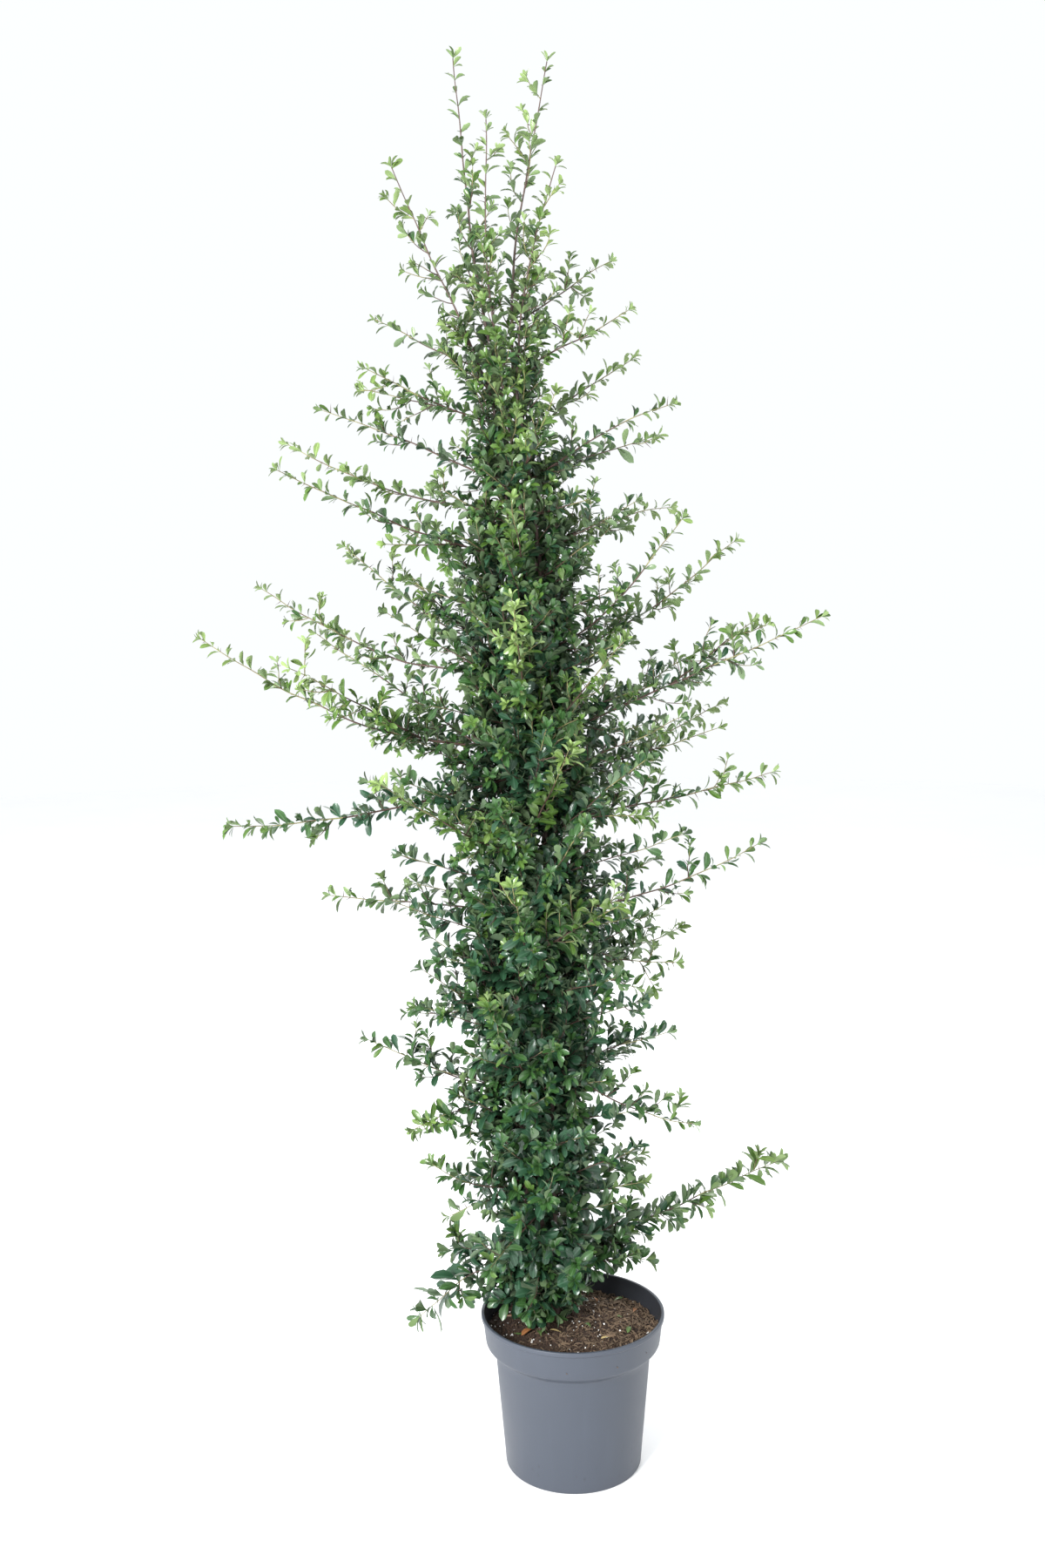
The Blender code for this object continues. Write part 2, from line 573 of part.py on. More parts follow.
class Mass:
    """One mass of foliage, grown along its stems by a seeded rule."""

    def __init__(self, name, lines, room, tools):
        self.name = name
        self.room = room
        self.home, self.section, self.leaf, self.finish = tools
        self.random = random.Random(name)
        self.pieces = collection(name + "_pieces")
        radii = tapered(len(lines[0]), STEM_ROOT_RADIUS, STEM_TIP_RADIUS)
        self.body = tube(name, lines[0], radii, self.section, self.home, self.finish)
        for line in lines[1:]:
            radii = tapered(len(line), STEM_ROOT_RADIUS * FORK_RADIUS_SHARE, STEM_TIP_RADIUS)
            tube(name + "_fork", line, radii, self.section, self.pieces, self.finish)
        self.at_tip = name.startswith("tip")
        if self.at_tip:
            self.clothe(lines[0], TIP_FIRST_STATION, TIP_STATION, TIP_MASS_SHARE)
        else:
            self.add_heart(lines[0])
            self.clothe(lines[0], FIRST_STATION, STATION, 1.0)
        for line in lines[1:]:
            self.clothe(line, FORK_FIRST_STATION, STATION, 1.0)
        self.join()

    def add_leaf(self, root, direction, sink, scale):
        """A leaf whose root is sunk into what carries it, if there is room for it."""
        roll = self.random.uniform(-ROLL_SPREAD, ROLL_SPREAD)
        matrix = placed(root - direction * sink, direction, roll, scale)
        if self.room.free(self.name, leaf_places(matrix)):
            made = mesh_object(self.name + "_leaf", self.leaf, self.pieces, self.finish)
            made.matrix_world = matrix

    def heart_shape(self, frame, size):
        """A rough closed form round the middle of a frame that keeps to the mass's space."""
        shape = bmesh.new()
        bmesh.ops.create_uvsphere(shape, u_segments=HEART_SIDES, v_segments=HEART_ROWS, radius=1.0)
        for vert in shape.verts:
            far = 1.0 - self.random.uniform(0.0, HEART_ROUGHNESS)
            vert.co = Vector(c * half for c, half in zip(vert.co, size)) * far
            for _ in range(HEART_TRIES):
                if self.room.free(self.name, [frame @ vert.co, frame @ (vert.co / 2)]):
                    break
                vert.co *= HEART_SHRINK
        for _ in range(HEART_TRIES):
            blocked = [face for face in shape.faces
                       if not self.room.free(self.name, [frame @ p for p in face_places(face)])]
            if not blocked:
                return shape
            for vert in {vert for face in blocked for vert in face.verts}:
                vert.co *= HEART_SHRINK
        shape.free()
        return None

    def add_heart(self, line):
        """The dense heart of the mass in the crown's column, with leaves that stand out of it."""
        out_of_ring = [p for p in Room.dense(line) if (p - crown_axis(p.z)).xy.length > HEART_FROM_AXIS]
        middle = out_of_ring[0]
        out = (middle - crown_axis(middle.z)).xy
        fade = smooth_step((middle.z - HEART_FADES_FROM) / HEART_FADES_OVER)
        size = [half * (1.0 + (HEART_TOP_SCALE - 1.0) * fade) for half in HEART_HALF_SIZE]
        frame = Matrix.Translation(middle) @ Matrix.Rotation(math.atan2(out.y, out.x), 4, "Z")
        shape = self.heart_shape(frame, size)
        if shape is None:
            return
        shape.transform(frame)
        mesh = bpy.data.meshes.new("heart")
        shape.to_mesh(mesh)
        mesh_object(self.name + "_heart", mesh, self.pieces, self.finish)
        surface = BVHTree.FromBMesh(shape)
        shape.free()
        for i in range(HEART_LEAVES):
            angle = GOLDEN_ANGLE * i
            lean = math.sqrt((i + 0.5) / HEART_LEAVES) * HEART_LEAF_SPREAD
            ray = Vector((math.cos(lean), math.sin(lean) * math.cos(angle), math.sin(lean) * math.sin(angle)))
            ray = frame.to_3x3() @ ray
            root = surface.ray_cast(middle, ray)[0]
            scale = 1.0 + self.random.uniform(-SIZE_SPREAD, SIZE_SPREAD)
            self.add_leaf(root, (ray + UP * HEART_LEAF_RISE).normalized(), HEART_LEAF_SINK, scale)

    def clothe(self, line, first, step, size):
        """Leaves along one stem, turned by the golden angle each time."""
        turn = self.random.uniform(0.0, math.tau)
        for place, along, share in walk(line, first, step):
            turn += GOLDEN_ANGLE
            side = Quaternion(along, turn) @ along.orthogonal().normalized()
            direction = along * math.cos(LEAF_LEAN) + side * math.sin(LEAF_LEAN)
            radius = STEM_ROOT_RADIUS + (STEM_TIP_RADIUS - STEM_ROOT_RADIUS) * share
            scale = size * (1.0 + (LEAF_TIP_SHARE - 1.0) * share)
            scale *= 1.0 + self.random.uniform(-SIZE_SPREAD, SIZE_SPREAD)
            self.add_leaf(place, direction, radius * LEAF_SINK_SHARE, scale)
        self.add_leaf(line[-1], (line[-1] - line[-2]).normalized(), TIP_LEAF_SINK, LEAF_TIP_SHARE)

    def join(self):
        """Fuse the stem with its pieces into one solid."""
        union = self.body.modifiers.new("Fuse", "BOOLEAN")
        union.operation = "UNION"
        union.operand_type = "COLLECTION"
        union.collection = self.pieces
        union.solver = "EXACT"
        graph = bpy.context.evaluated_depsgraph_get()
        mesh = bpy.data.meshes.new_from_object(self.body.evaluated_get(graph))
        self.body.modifiers.remove(union)
        mesh.name = self.name
        self.body.data = mesh
        for piece in list(self.pieces.objects):
            bpy.data.objects.remove(piece)
        bpy.data.collections.remove(self.pieces)


def pot_profile():
    """The pot's section, from the inner floor over the rim to the underside."""
    band_low = POT_HEIGHT - POT_BAND_DEPTH
    shoulder = band_low - POT_SHOULDER_DROP
    lip = POT_HEIGHT - POT_LIP_DEPTH
    outer = [
        (POT_RIM_RADIUS - POT_WALL / 2, POT_HEIGHT),
        (POT_RIM_RADIUS, POT_HEIGHT - POT_LIP_ROUNDING),
        (POT_RIM_RADIUS, lip + POT_LIP_UNDERCUT),
        (POT_BAND_TOP_RADIUS, lip),
        (POT_BAND_BOTTOM_RADIUS, band_low + POT_BAND_ROUNDING),
        (POT_BAND_BOTTOM_RADIUS - POT_WALL, band_low),
        (POT_SHOULDER_RADIUS, shoulder),
        (POT_FOOT_RADIUS + POT_FOOT_FLARE, POT_FOOT_ROUNDING),
        (POT_FOOT_RADIUS - POT_FOOT_ROUNDING, 0.0),
        (0.0, 0.0),
    ]
    inner = [
        (0.0, POT_FLOOR),
        (POT_FOOT_RADIUS - POT_WALL, POT_FLOOR),
        (POT_SHOULDER_RADIUS - POT_WALL, shoulder),
        (POT_BAND_BOTTOM_RADIUS - 2.0 * POT_WALL, band_low + POT_BAND_ROUNDING),
        (POT_BAND_TOP_RADIUS - POT_WALL, lip),
        (POT_RIM_RADIUS - 2.0 * POT_WALL, POT_HEIGHT),
    ]
    return inner + outer


def soil_profile():
    """The soil's section, from the middle of its top to the middle of its foot."""
    band_low = POT_HEIGHT - POT_BAND_DEPTH
    shoulder = band_low - POT_SHOULDER_DROP
    edge = SOIL_TOP - SOIL_EDGE_DROP
    band_inner = POT_BAND_BOTTOM_RADIUS - 2.0 * POT_WALL
    slope = SOIL_FLAT_RADIUS + (band_inner - SOIL_FLAT_RADIUS) * SOIL_SLOPE_AT
    clear = 2.0 * GAP
    return [
        (0.0, SOIL_TOP),
        (SOIL_FLAT_RADIUS, SOIL_TOP),
        (slope, SOIL_TOP - SOIL_EDGE_DROP * SOIL_SLOPE_DROP),
        (band_inner - clear, edge),
        (band_inner - clear, band_low + POT_BAND_ROUNDING),
        (POT_SHOULDER_RADIUS - POT_WALL - clear, shoulder),
        (POT_FOOT_RADIUS - POT_WALL - clear, POT_FLOOR + GAP),
        (0.0, POT_FLOOR + GAP),
    ]


def make_trunk(home, finish):
    """The short trunk, from its flat cut on the soil to the flat under the boughs."""
    shape = bmesh.new()
    rings = []
    for centre, radius in trunk_sections():
        ring = []
        flare = (radius - TRUNK_TOP_RADIUS) / TRUNK_TOP_RADIUS
        for i in range(TRUNK_SIDES):
            angle = math.tau * i / TRUNK_SIDES
            swell = 1.0 + TRUNK_LOBE_SWELL * math.sin(TRUNK_LOBES * angle) * flare
            place = centre + Vector((math.cos(angle), math.sin(angle), 0.0)) * radius * swell
            ring.append(shape.verts.new(place))
        rings.append(ring)
    for low, high in zip(rings, rings[1:]):
        for i in range(TRUNK_SIDES):
            j = (i + 1) % TRUNK_SIDES
            shape.faces.new((low[i], low[j], high[j], high[i]))
    shape.faces.new(list(reversed(rings[0])))
    shape.faces.new(rings[-1])
    mesh = bpy.data.meshes.new("trunk")
    shape.to_mesh(mesh)
    shape.free()
    return mesh_object("trunk", mesh, home, finish)


def all_stems():
    """The stem lines of every mass, by the mass's name."""
    stems = {bough.name.replace("bough", "tip"): [tip_stem(bough)] for bough in BOUGHS}
    for shoot in SHOOTS:
        forks = [fork_stem(fork, shoot) for fork in FORKS if fork.shoot == shoot.name]
        stems[shoot.name] = [shoot_stem(shoot)] + forks
    return stems


def main():
    for old in list(bpy.data.objects):
        bpy.data.objects.remove(old, do_unlink=True)
    home = collection(OBJECT_NAME)
    bark = material("bark", BARK_BROWN, BARK_ROUGHNESS)
    old_leaves = material("foliage", LEAF_GREEN, LEAF_ROUGHNESS)
    young_leaves = material("young_foliage", YOUNG_GREEN, LEAF_ROUGHNESS)
    plastic = material("pot_plastic", POT_GREY, POT_ROUGHNESS)
    turned("pot", pot_profile(), POT_SIDES, home, plastic)
    earth = material("potting_soil", SOIL_BROWN, SOIL_ROUGHNESS)
    turned("soil", soil_profile(), POT_SIDES, home, earth)
    make_trunk(home, bark)
    for bough in BOUGHS:
        points = bough_points(bough)
        tube(bough.name, points, [bough_radius(p.z) for p in points], None, home, bark)
    stems = all_stems()
    room = Room(stems)
    leaf = leaf_mesh()
    section = three_sided(home)
    for name, lines in stems.items():
        finish = young_leaves if name.startswith(("tip", "shoot_front")) else old_leaves
        Mass(name, lines, room, (home, section, leaf, finish))
    bpy.data.objects.remove(section)


main()
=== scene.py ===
"""Looks of a firethorn shrub in its nursery pot, made around its fixed frame: metres, +Z up.

Boughs, shoots and forks follow the rule of the construction. Here they carry on to side twigs,
thorns and leaves. Each group of like pieces has its own operator.
"""
import json
import math
import random
from collections import namedtuple
from functools import lru_cache

import bmesh
import bpy
from bpy.props import FloatProperty, FloatVectorProperty, IntProperty, PointerProperty
from mathutils import Matrix, Quaternion, Vector, noise

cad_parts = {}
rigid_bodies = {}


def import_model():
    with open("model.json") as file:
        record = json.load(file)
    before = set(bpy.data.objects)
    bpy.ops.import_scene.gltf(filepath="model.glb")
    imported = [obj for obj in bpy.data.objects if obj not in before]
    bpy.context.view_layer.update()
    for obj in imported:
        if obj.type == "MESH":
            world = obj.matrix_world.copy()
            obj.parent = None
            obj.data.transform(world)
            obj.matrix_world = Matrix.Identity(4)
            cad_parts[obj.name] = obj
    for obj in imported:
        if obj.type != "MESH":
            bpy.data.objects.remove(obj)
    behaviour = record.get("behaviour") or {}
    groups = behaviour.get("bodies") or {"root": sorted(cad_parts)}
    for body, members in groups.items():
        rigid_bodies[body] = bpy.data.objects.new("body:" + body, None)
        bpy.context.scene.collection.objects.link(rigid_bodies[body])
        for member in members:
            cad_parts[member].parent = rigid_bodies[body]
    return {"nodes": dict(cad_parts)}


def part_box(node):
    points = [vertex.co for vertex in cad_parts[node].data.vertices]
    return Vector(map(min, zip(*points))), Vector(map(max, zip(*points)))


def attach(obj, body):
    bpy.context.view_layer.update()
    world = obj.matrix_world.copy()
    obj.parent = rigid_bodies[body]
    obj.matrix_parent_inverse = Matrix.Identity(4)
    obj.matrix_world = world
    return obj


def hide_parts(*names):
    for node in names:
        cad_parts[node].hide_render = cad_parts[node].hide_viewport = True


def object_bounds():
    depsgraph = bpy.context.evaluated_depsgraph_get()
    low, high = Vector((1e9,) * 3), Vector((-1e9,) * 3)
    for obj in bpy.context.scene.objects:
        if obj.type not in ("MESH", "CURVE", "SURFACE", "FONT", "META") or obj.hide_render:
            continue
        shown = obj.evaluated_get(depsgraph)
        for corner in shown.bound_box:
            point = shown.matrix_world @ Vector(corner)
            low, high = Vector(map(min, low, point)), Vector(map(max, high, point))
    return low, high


bl_info = {
    "name": "Firethorn Shrub",
    "version": (1, 0, 0),
    "blender": (4, 5, 0),
    "location": "3D View > Sidebar > Firethorn",
    "description": "A potted firethorn shrub with its bark, twigs, thorns and leaves",
    "category": "Object",
}

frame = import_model()
CAD_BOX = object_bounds()
BODY = "root"
UP = Vector((0.0, 0.0, 1.0))

# Sizes that the frame gives
RIM_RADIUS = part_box("pot")[1].x
POT_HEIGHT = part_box("pot")[1].z
SOIL_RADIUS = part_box("soil")[1].x
SOIL_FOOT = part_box("soil")[0].z
SOIL_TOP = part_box("soil")[1].z
TRUNK_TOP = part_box("trunk")[1].z
MASSES = [name for name in frame["nodes"] if name.startswith(("shoot", "tip"))]

# Pot: the rim's lip, the band below it, the shoulder and the foot
LIP_DEPTH = 0.009
LIP_OVERHANG = 0.0035
BAND_DEPTH = 0.053
BAND_TAPER = 0.004
SHOULDER_DROP = 0.013
SHOULDER_RADIUS = 0.1305
FOOT_RADIUS = 0.1144
POT_WALL = 0.0026
WALL_AT_BAND = 1.6 * POT_WALL
WALL_AT_LIP = 2.0 * POT_WALL
POT_FLOOR = 0.0030
POT_SIDES = 160
POT_SHARP_ANGLE = math.radians(40)
MERGE_DISTANCE = 0.00002

# Corners of the pot's section: how far each lies from its edge, and its rounding
CORNER_STEPS = 4
ROUNDING_LIMIT = 0.45
INNER_ROUNDING = 0.003
LIP_ROOT_UP = 0.0020
LIP_ROOT_OUT = 0.0008
LIP_ROOT_SOFTER = 0.6
BAND_INNER_UP = 0.004
BAND_EDGE_UP = 0.0028
BAND_EDGE_ROUNDING = 0.0042
SHOULDER_TOP_OUT = 0.0012
SHOULDER_TOP_UP = 0.0040
SHOULDER_LOW_IN = 0.0004
SHOULDER_LOW_DOWN = 0.0060
FOOT_ROUNDING = 0.0038
FOOT_GROOVE = (0.62, 0.61, 0.55, 0.54)
FOOT_GROOVE_DEPTH = 0.0009

# Soil: its edge lies lower than its middle, and its surface is lumpy
SOIL_EDGE_DROP = 0.008
SOIL_EDGE_SLOPE = 2.2
SOIL_EDGE_START = 1.2
SOIL_RINGS = 40
SOIL_SIDES = 120
SOIL_UNDER_BAND = 0.006
SOIL_UNDER_SHOULDER = 0.003
SOIL_LUMP = 0.0035
SOIL_LUMPS_PER_M = 38.0
SOIL_GRAIN = 0.0012
SOIL_GRAINS_PER_M = 150.0
SOIL_FRACTAL = (0.8, 2.0, 4)
SOIL_AGAINST_POT = 0.0028

# What lies strewn on the soil: crumbs and grains are rough lumps, slivers have widths and bends
CRUMB_FORMS = 4
CRUMB_STRETCH = (1.0, 0.8, 0.6)
LUMP_ROUGHNESS = 0.45
LUMPS_ACROSS = 3.0
SLIVER_FORMS = ((0.11, -0.5), (0.16, 0.0), (0.21, 0.5))
SLIVER_THICKNESS = 0.35
SLIVER_TAPER = 0.75
SLIVER_ROUGHNESS = 0.3
SLIVER_LUMPS_ACROSS = 4.0
LEAST_UPWARD = 0.4
PICK_UP_TO = 99

# Crown axis and the ring of boughs round it
FOOT_X = -0.026
FOOT_Y = 0.030
FOOT_Y_FADE = 0.30
SIDE_STEP = 0.0274
SIDE_STEP_FADE = 0.12
SIDE_DRIFT = 0.0109
TOP_LEAN = 0.055
TOP_LEAN_FROM = 1.50
TOP_LEAN_SPAN = 0.55
RING_FOOT = 0.0092
RING_WIDE = 0.0270
RING_OPENS_OVER = 0.08
RING_NARROWS_FROM = 1.30
RING_NARROWS_SPAN = 0.58
RING_NARROWS_BY = 0.009
FAN_FROM = 1.75
FAN_POWER = 1.3

# Trunk and boughs; a fractal holds its roughness, the step between its octaves and their number
TRUNK_RADIUS = 0.0155
TRUNK_FLARE = 0.006
TRUNK_FLARE_FADE = 0.014
TRUNK_SUNK = 0.010
TRUNK_SIDES = 48
TRUNK_STEP = 0.0018
TRUNK_LOBES = 3
TRUNK_LOBE_SWELL = 0.10
TRUNK_DOME = 0.010
BOUGH_FOOT_RADIUS = 0.0048
BOUGH_TIP_RADIUS = 0.0021
BOUGH_REFERENCE_TOP = 1.95
BOUGH_SUNK = 0.012
BOUGH_STRAIGHT = 0.005
BOUGH_SIDES = 12
BOUGH_STEP = 0.005
BOUGH_WANDER = 0.0022
LEADER_TIP_RADIUS = 0.0008
LEADER_TAPER_HEIGHT = 0.45
OPEN_LEADER = 0.425
JOINT_SPACING = 0.031
JOINT_SWELL = 0.14
JOINT_LENGTH = 0.004
BARK_RELIEF = 0.05
TRUNK_DOME_START = 0.004
TRUNK_DOME_SPAN = TRUNK_DOME + 0.0045
TRUNK_CRACKS = (4.0, 60.0)
TRUNK_FRACTAL = (0.9, 2.1, 4)
BOUGH_CRACKS = (2.0, 90.0)
BOUGH_FRACTAL = (0.9, 2.1, 3)
BARE_BOUGH = 0.02

# Stems
COLLAR = 0.006
STEM_STEP = 0.009
STEM_LEAST_RADIUS = 0.0013
STEM_RADIUS_PER_REACH = 0.0021
STEM_TIP_RADIUS = 0.0006
STEM_SIDES = 6
STEM_WANDER = 0.0045
STEM_WANDERS_PER_M = 14.0
WANDER_OFFSETS = (Vector((11.3, 0.7, 4.1)), Vector((2.9, 17.9, 8.3)), Vector((5.7, 9.1, 23.6)))
TWIG_RADIUS = 0.0009
TWIG_FORWARD = 0.6
TWIG_LIFT = 0.10
TWIG_JITTER = 0.10
TWIG_LENGTHS = (0.5, 1.25)
TWIG_SHORTENS = 0.4
OLD_TWIG_WOOD = 1.2
TWIG_WOOD_LOSS = 2.0
FORK_RADIUS = 0.75
WANDER_SEEDS_PER_M = 100.0
THORN_LENGTH = (0.008, 0.016)
THORN_LEAN = math.radians(72)
THORN_BENDS = (0.0, 0.12, -0.10)
GREEN_FROM = 0.62

# Leaves
GOLDEN_ANGLE = math.radians(137.5)
TURN_JITTER = 0.25
CLUSTER_SPREAD = 0.75
LEAF_LEAN = (math.radians(32), math.radians(78))
LEAF_LIFT = 0.22
LEAF_FACES_UP = 0.8
LEAF_FACES_OUT = 0.55
LEAF_FACE_JITTER = 0.50
LEAF_SIZE_JITTER = 0.15
LESSER_LEAF = (0.68, 1.0)
TIP_LEAF_SHRINK = 0.25
COPY_SIZE_SPREAD = 0.04
ROSETTE_LEAVES = 5
ROSETTE_LEAN = (math.radians(12), math.radians(48))
ROSETTE_SIZE = 0.74
AGE_JITTER = 0.06
SPRAY_AGE_JITTER = 0.07
LOW_LEAF_GAIN = 0.24
LOW_LEAF_FROM = 0.45
LOW_LEAF_SPAN = 1.25
LEAF_ROWS = ((0.0, 0.06), (0.17, 0.24), (0.42, 0.74), (0.68, 1.0), (0.90, 0.74))
POT_CLEARANCE = 0.002
REACH_ALLOWANCE = 0.004

# Column: the dense middle of the crown, as half widths and leaf ages at heights, the ages partly painted
# shade; low sprays hang
COLUMN_HALF_WIDTHS = (
    (0.26, 0.013), (0.37, 0.029), (0.44, 0.058), (0.53, 0.084), (0.75, 0.095), (0.95, 0.107),
    (1.20, 0.117), (1.35, 0.104), (1.48, 0.078), (1.65, 0.062), (1.80, 0.054), (2.10, 0.050),
)
COLUMN_LOW = 0.322
COLUMN_HIGH = 2.00
COLUMN_RISE = (0.0, 0.9)
COLUMN_REACH = (0.55, 1.05)
COLUMN_CLUMPS_PER_M = 7.0
COLUMN_CLUMPING = 0.62
HANGING_BELOW = 0.43
HANGING_STEP = 0.24
HANGING_RISE = (-4.0, 0.1)
HANGING_SHARE = 0.93
THINS_FROM = 1.76
THINS_SPAN = 0.18
# Leaf ages of the column by height, and the shift that darkens its sprays: partly older inner leaves,
# partly painted shade of the crown's middle
COLUMN_AGES_AND_SHADE = ((0.30, 0.05), (0.75, 0.06), (1.00, 0.08), (1.40, 0.16), (1.75, 0.26), (2.00, 0.42))
COLUMN_INNER_AGE_AND_SHADE = -0.10
COLUMN_GAIN = 0.30
DELICATE_FROM = 1.70
BRIGHT_SPRAY_CHANCES = ((0.30, 0.0), (0.85, 0.02), (1.35, 0.09), (2.00, 0.09))
BRIGHT_SPRAY_GAIN = 0.34

# Short shoots all round that lead over from the dense middle to the long shoots
INFILL_LOW = 0.43
INFILL_HIGH = 1.66
INFILL_COUNT = 100
INFILL_REACH = (1.30, 2.20)
INFILL_RISE = (0.10, 0.75)
INFILL_GAIN = 0.23

# Tints of leaves from old to new, zones of height by their tops, and what each row of values holds
TINTS = ("deep", "dark", "mid", "fresh", "lime")
YOUNG_TINTS = ("fresh", "lime")
ZONES = {"low": 0.85, "middle": 1.30, "high": math.inf}
Bough = namedtuple("Bough", "name heading tip")
Shoot = namedtuple("Shoot", "name bough height heading reach rise bow")
Fork = namedtuple("Fork", "shoot at heading reach rise")
Habit = namedtuple("Habit", "first spacing leaves size forms twigs twig_length thorns")
LeafForm = namedtuple("LeafForm", "width fold curl cup twist")
Strewn = namedtuple("Strewn", "name to_the_right least most tilt lift")
Fallen = namedtuple("Fallen", "x y heading length tone")

# What is strewn on the soil: how much denser to the right, its sizes, tilt and lift
CRUMBS = Strewn("soil_crumbs", -0.35, 0.0022, 0.0075, 1.5, 0.0)
SLIVERS = Strewn("bark_slivers", 1.25, 0.0060, 0.0170, 0.5, 0.0012)
GRAINS = Strewn("white_grains", -0.85, 0.0018, 0.0050, 1.5, 0.0014)

# How a stem is clothed: first node, spacing, leaves at a node, leaf size, range of leaf forms,
# chance and length of side twigs, and chance of a thorn
SHOOT_HABIT = Habit(0.010, 0.0138, (2, 4), 0.96, (0, 3), 0.80, 0.062, 0.30)
FULL_HABIT = Habit(0.010, 0.0120, (3, 5), 0.96, (0, 4), 0.60, 0.045, 0.30)
TWIG_HABIT = Habit(0.010, 0.0125, (2, 4), 0.85, (0, 3), 0.0, 0.0, 0.10)
INFILL_HABIT = Habit(0.012, 0.0145, (2, 4), 0.96, (2, 6), 0.70, 0.050, 0.20)
COLUMN_HABIT = Habit(0.016, 0.0130, (2, 4), 1.10, (3, 6), 0.10, 0.035, 0.06)
COLUMN_TOP_HABIT = Habit(0.014, 0.0150, (2, 4), 0.94, (0, 4), 0.12, 0.035, 0.06)
BOUGH_HABIT = Habit(0.020, 0.0120, (3, 4), 1.0, (2, 6), 0.0, 0.0, 0.05)
LEADER_HABIT = Habit(0.010, 0.0200, (2, 4), 1.04, (0, 3), 0.80, 0.080, 0.10)
HIGH_HABIT = SHOOT_HABIT._replace(twigs=0.40)
HIGH_SHOOTS_FROM = 1.45
FULL_SHOOTS = ("left_09", "left_15", "right_14", "right_15")

LEAF_FORMS = (
    LeafForm(0.37, 0.45, 0.24, 0.05, 0.2),
    LeafForm(0.34, 0.35, 0.12, 0.03, -0.2),
    LeafForm(0.40, 0.55, 0.34, 0.04, 0.3),
    LeafForm(0.41, 0.30, 0.08, 0.05, 0.0),
    LeafForm(0.46, 0.22, -0.04, 0.05, -0.2),
    LeafForm(0.43, 0.42, 0.26, 0.02, 0.35),
)

BOUGHS = (
    Bough("bough_left", 185, (-0.265, -0.020, 2.111)),
    Bough("bough_back", 110, (-0.172, 0.050, 2.289)),
    Bough("bough_front", 265, (-0.120, -0.050, 2.171)),
    Bough("bough_back_right", 40, (-0.026, 0.040, 2.279)),
    Bough("bough_right", 335, (-0.015, -0.040, 2.108)),
)

# Shoots of each side from the top down: the bough, the height where a shoot leaves it, its
# heading, how far it reaches out and rises, and its bow up or down
SHOOT_ROWS = {
    "left": (
        ("left", 1.815, 150, 0.195, 0.090, 0.000),
        ("left", 1.730, 200, 0.205, 0.075, -0.005),
        ("left", 1.640, 172, 0.285, 0.115, 0.005),
        ("left", 1.600, 158, 0.390, 0.110, -0.025),
        ("left", 1.520, 205, 0.375, 0.130, -0.010),
        ("back", 1.355, 145, 0.365, 0.190, -0.020),
        ("left", 1.335, 168, 0.415, 0.140, -0.035),
        ("left", 1.220, 190, 0.480, 0.180, -0.045),
        ("left", 1.170, 206, 0.460, -0.045, -0.015),
        ("front", 1.045, 230, 0.335, 0.155, -0.010),
        ("left", 0.950, 155, 0.350, 0.000, 0.000),
        ("left", 0.775, 195, 0.155, 0.090, -0.010),
        ("left", 0.635, 172, 0.250, 0.090, -0.005),
        ("left", 0.480, 212, 0.175, 0.075, -0.015),
        ("left", 0.335, 190, 0.200, -0.070, 0.030),
    ),
    "right": (
        ("back_right", 1.885, 25, 0.170, 0.105, 0.000),
        ("right", 1.810, -12, 0.170, 0.080, 0.000),
        ("back_right", 1.710, 36, 0.225, 0.135, 0.005),
        ("right", 1.645, -18, 0.225, 0.105, 0.010),
        ("back_right", 1.540, 40, 0.295, 0.065, 0.005),
        ("right", 1.375, -25, 0.230, 0.200, -0.030),
        ("back_right", 1.345, 20, 0.345, 0.200, -0.015),
        ("right", 1.235, -8, 0.430, 0.190, 0.000),
        ("back_right", 1.155, 40, 0.420, 0.105, -0.005),
        ("right", 1.100, 0, 0.360, 0.075, -0.005),
        ("right", 0.945, -18, 0.335, 0.130, -0.015),
        ("back_right", 0.865, 35, 0.285, 0.010, -0.015),
        ("right", 0.695, -10, 0.230, -0.090, -0.020),
        ("back_right", 0.450, 30, 0.175, 0.040, -0.005),
        ("back_right", 0.345, 26, 0.455, 0.085, 0.000),
    ),
    "front": (
        ("front", 1.640, -64, 0.130, 0.120, 0.000),
        ("front", 1.490, -98, 0.145, 0.115, 0.000),
        ("front", 1.280, -96, 0.210, 0.180, 0.000),
        ("front", 1.215, -49, 0.215, 0.180, 0.000),
        ("front", 1.090, -73, 0.200, 0.150, 0.000),
        ("front", 0.860, -98, 0.205, 0.175, 0.000),
        ("front", 0.660, -110, 0.200, 0.185, 0.000),
        ("front", 0.440, -120, 0.160, -0.030, 0.000),
    ),
    "back": (
        ("back", 1.740, 100, 0.190, 0.110, 0.000),
        ("back", 1.570, 72, 0.260, 0.120, -0.010),
        ("back", 1.440, 118, 0.310, 0.140, -0.020),
        ("back", 1.215, 82, 0.350, 0.150, -0.020),
        ("back", 1.020, 112, 0.330, 0.080, -0.015),
        ("back", 0.830, 74, 0.280, 0.070, -0.010),
        ("back", 0.640, 115, 0.250, 0.060, -0.010),
        ("back", 0.430, 85, 0.220, 0.050, 0.000),
    ),
}
SHOOTS = [Shoot(f"{side}_{number:02d}", "bough_" + bough, *sizes)
          for side, rows in SHOOT_ROWS.items() for number, (bough, *sizes) in enumerate(rows, 1)]

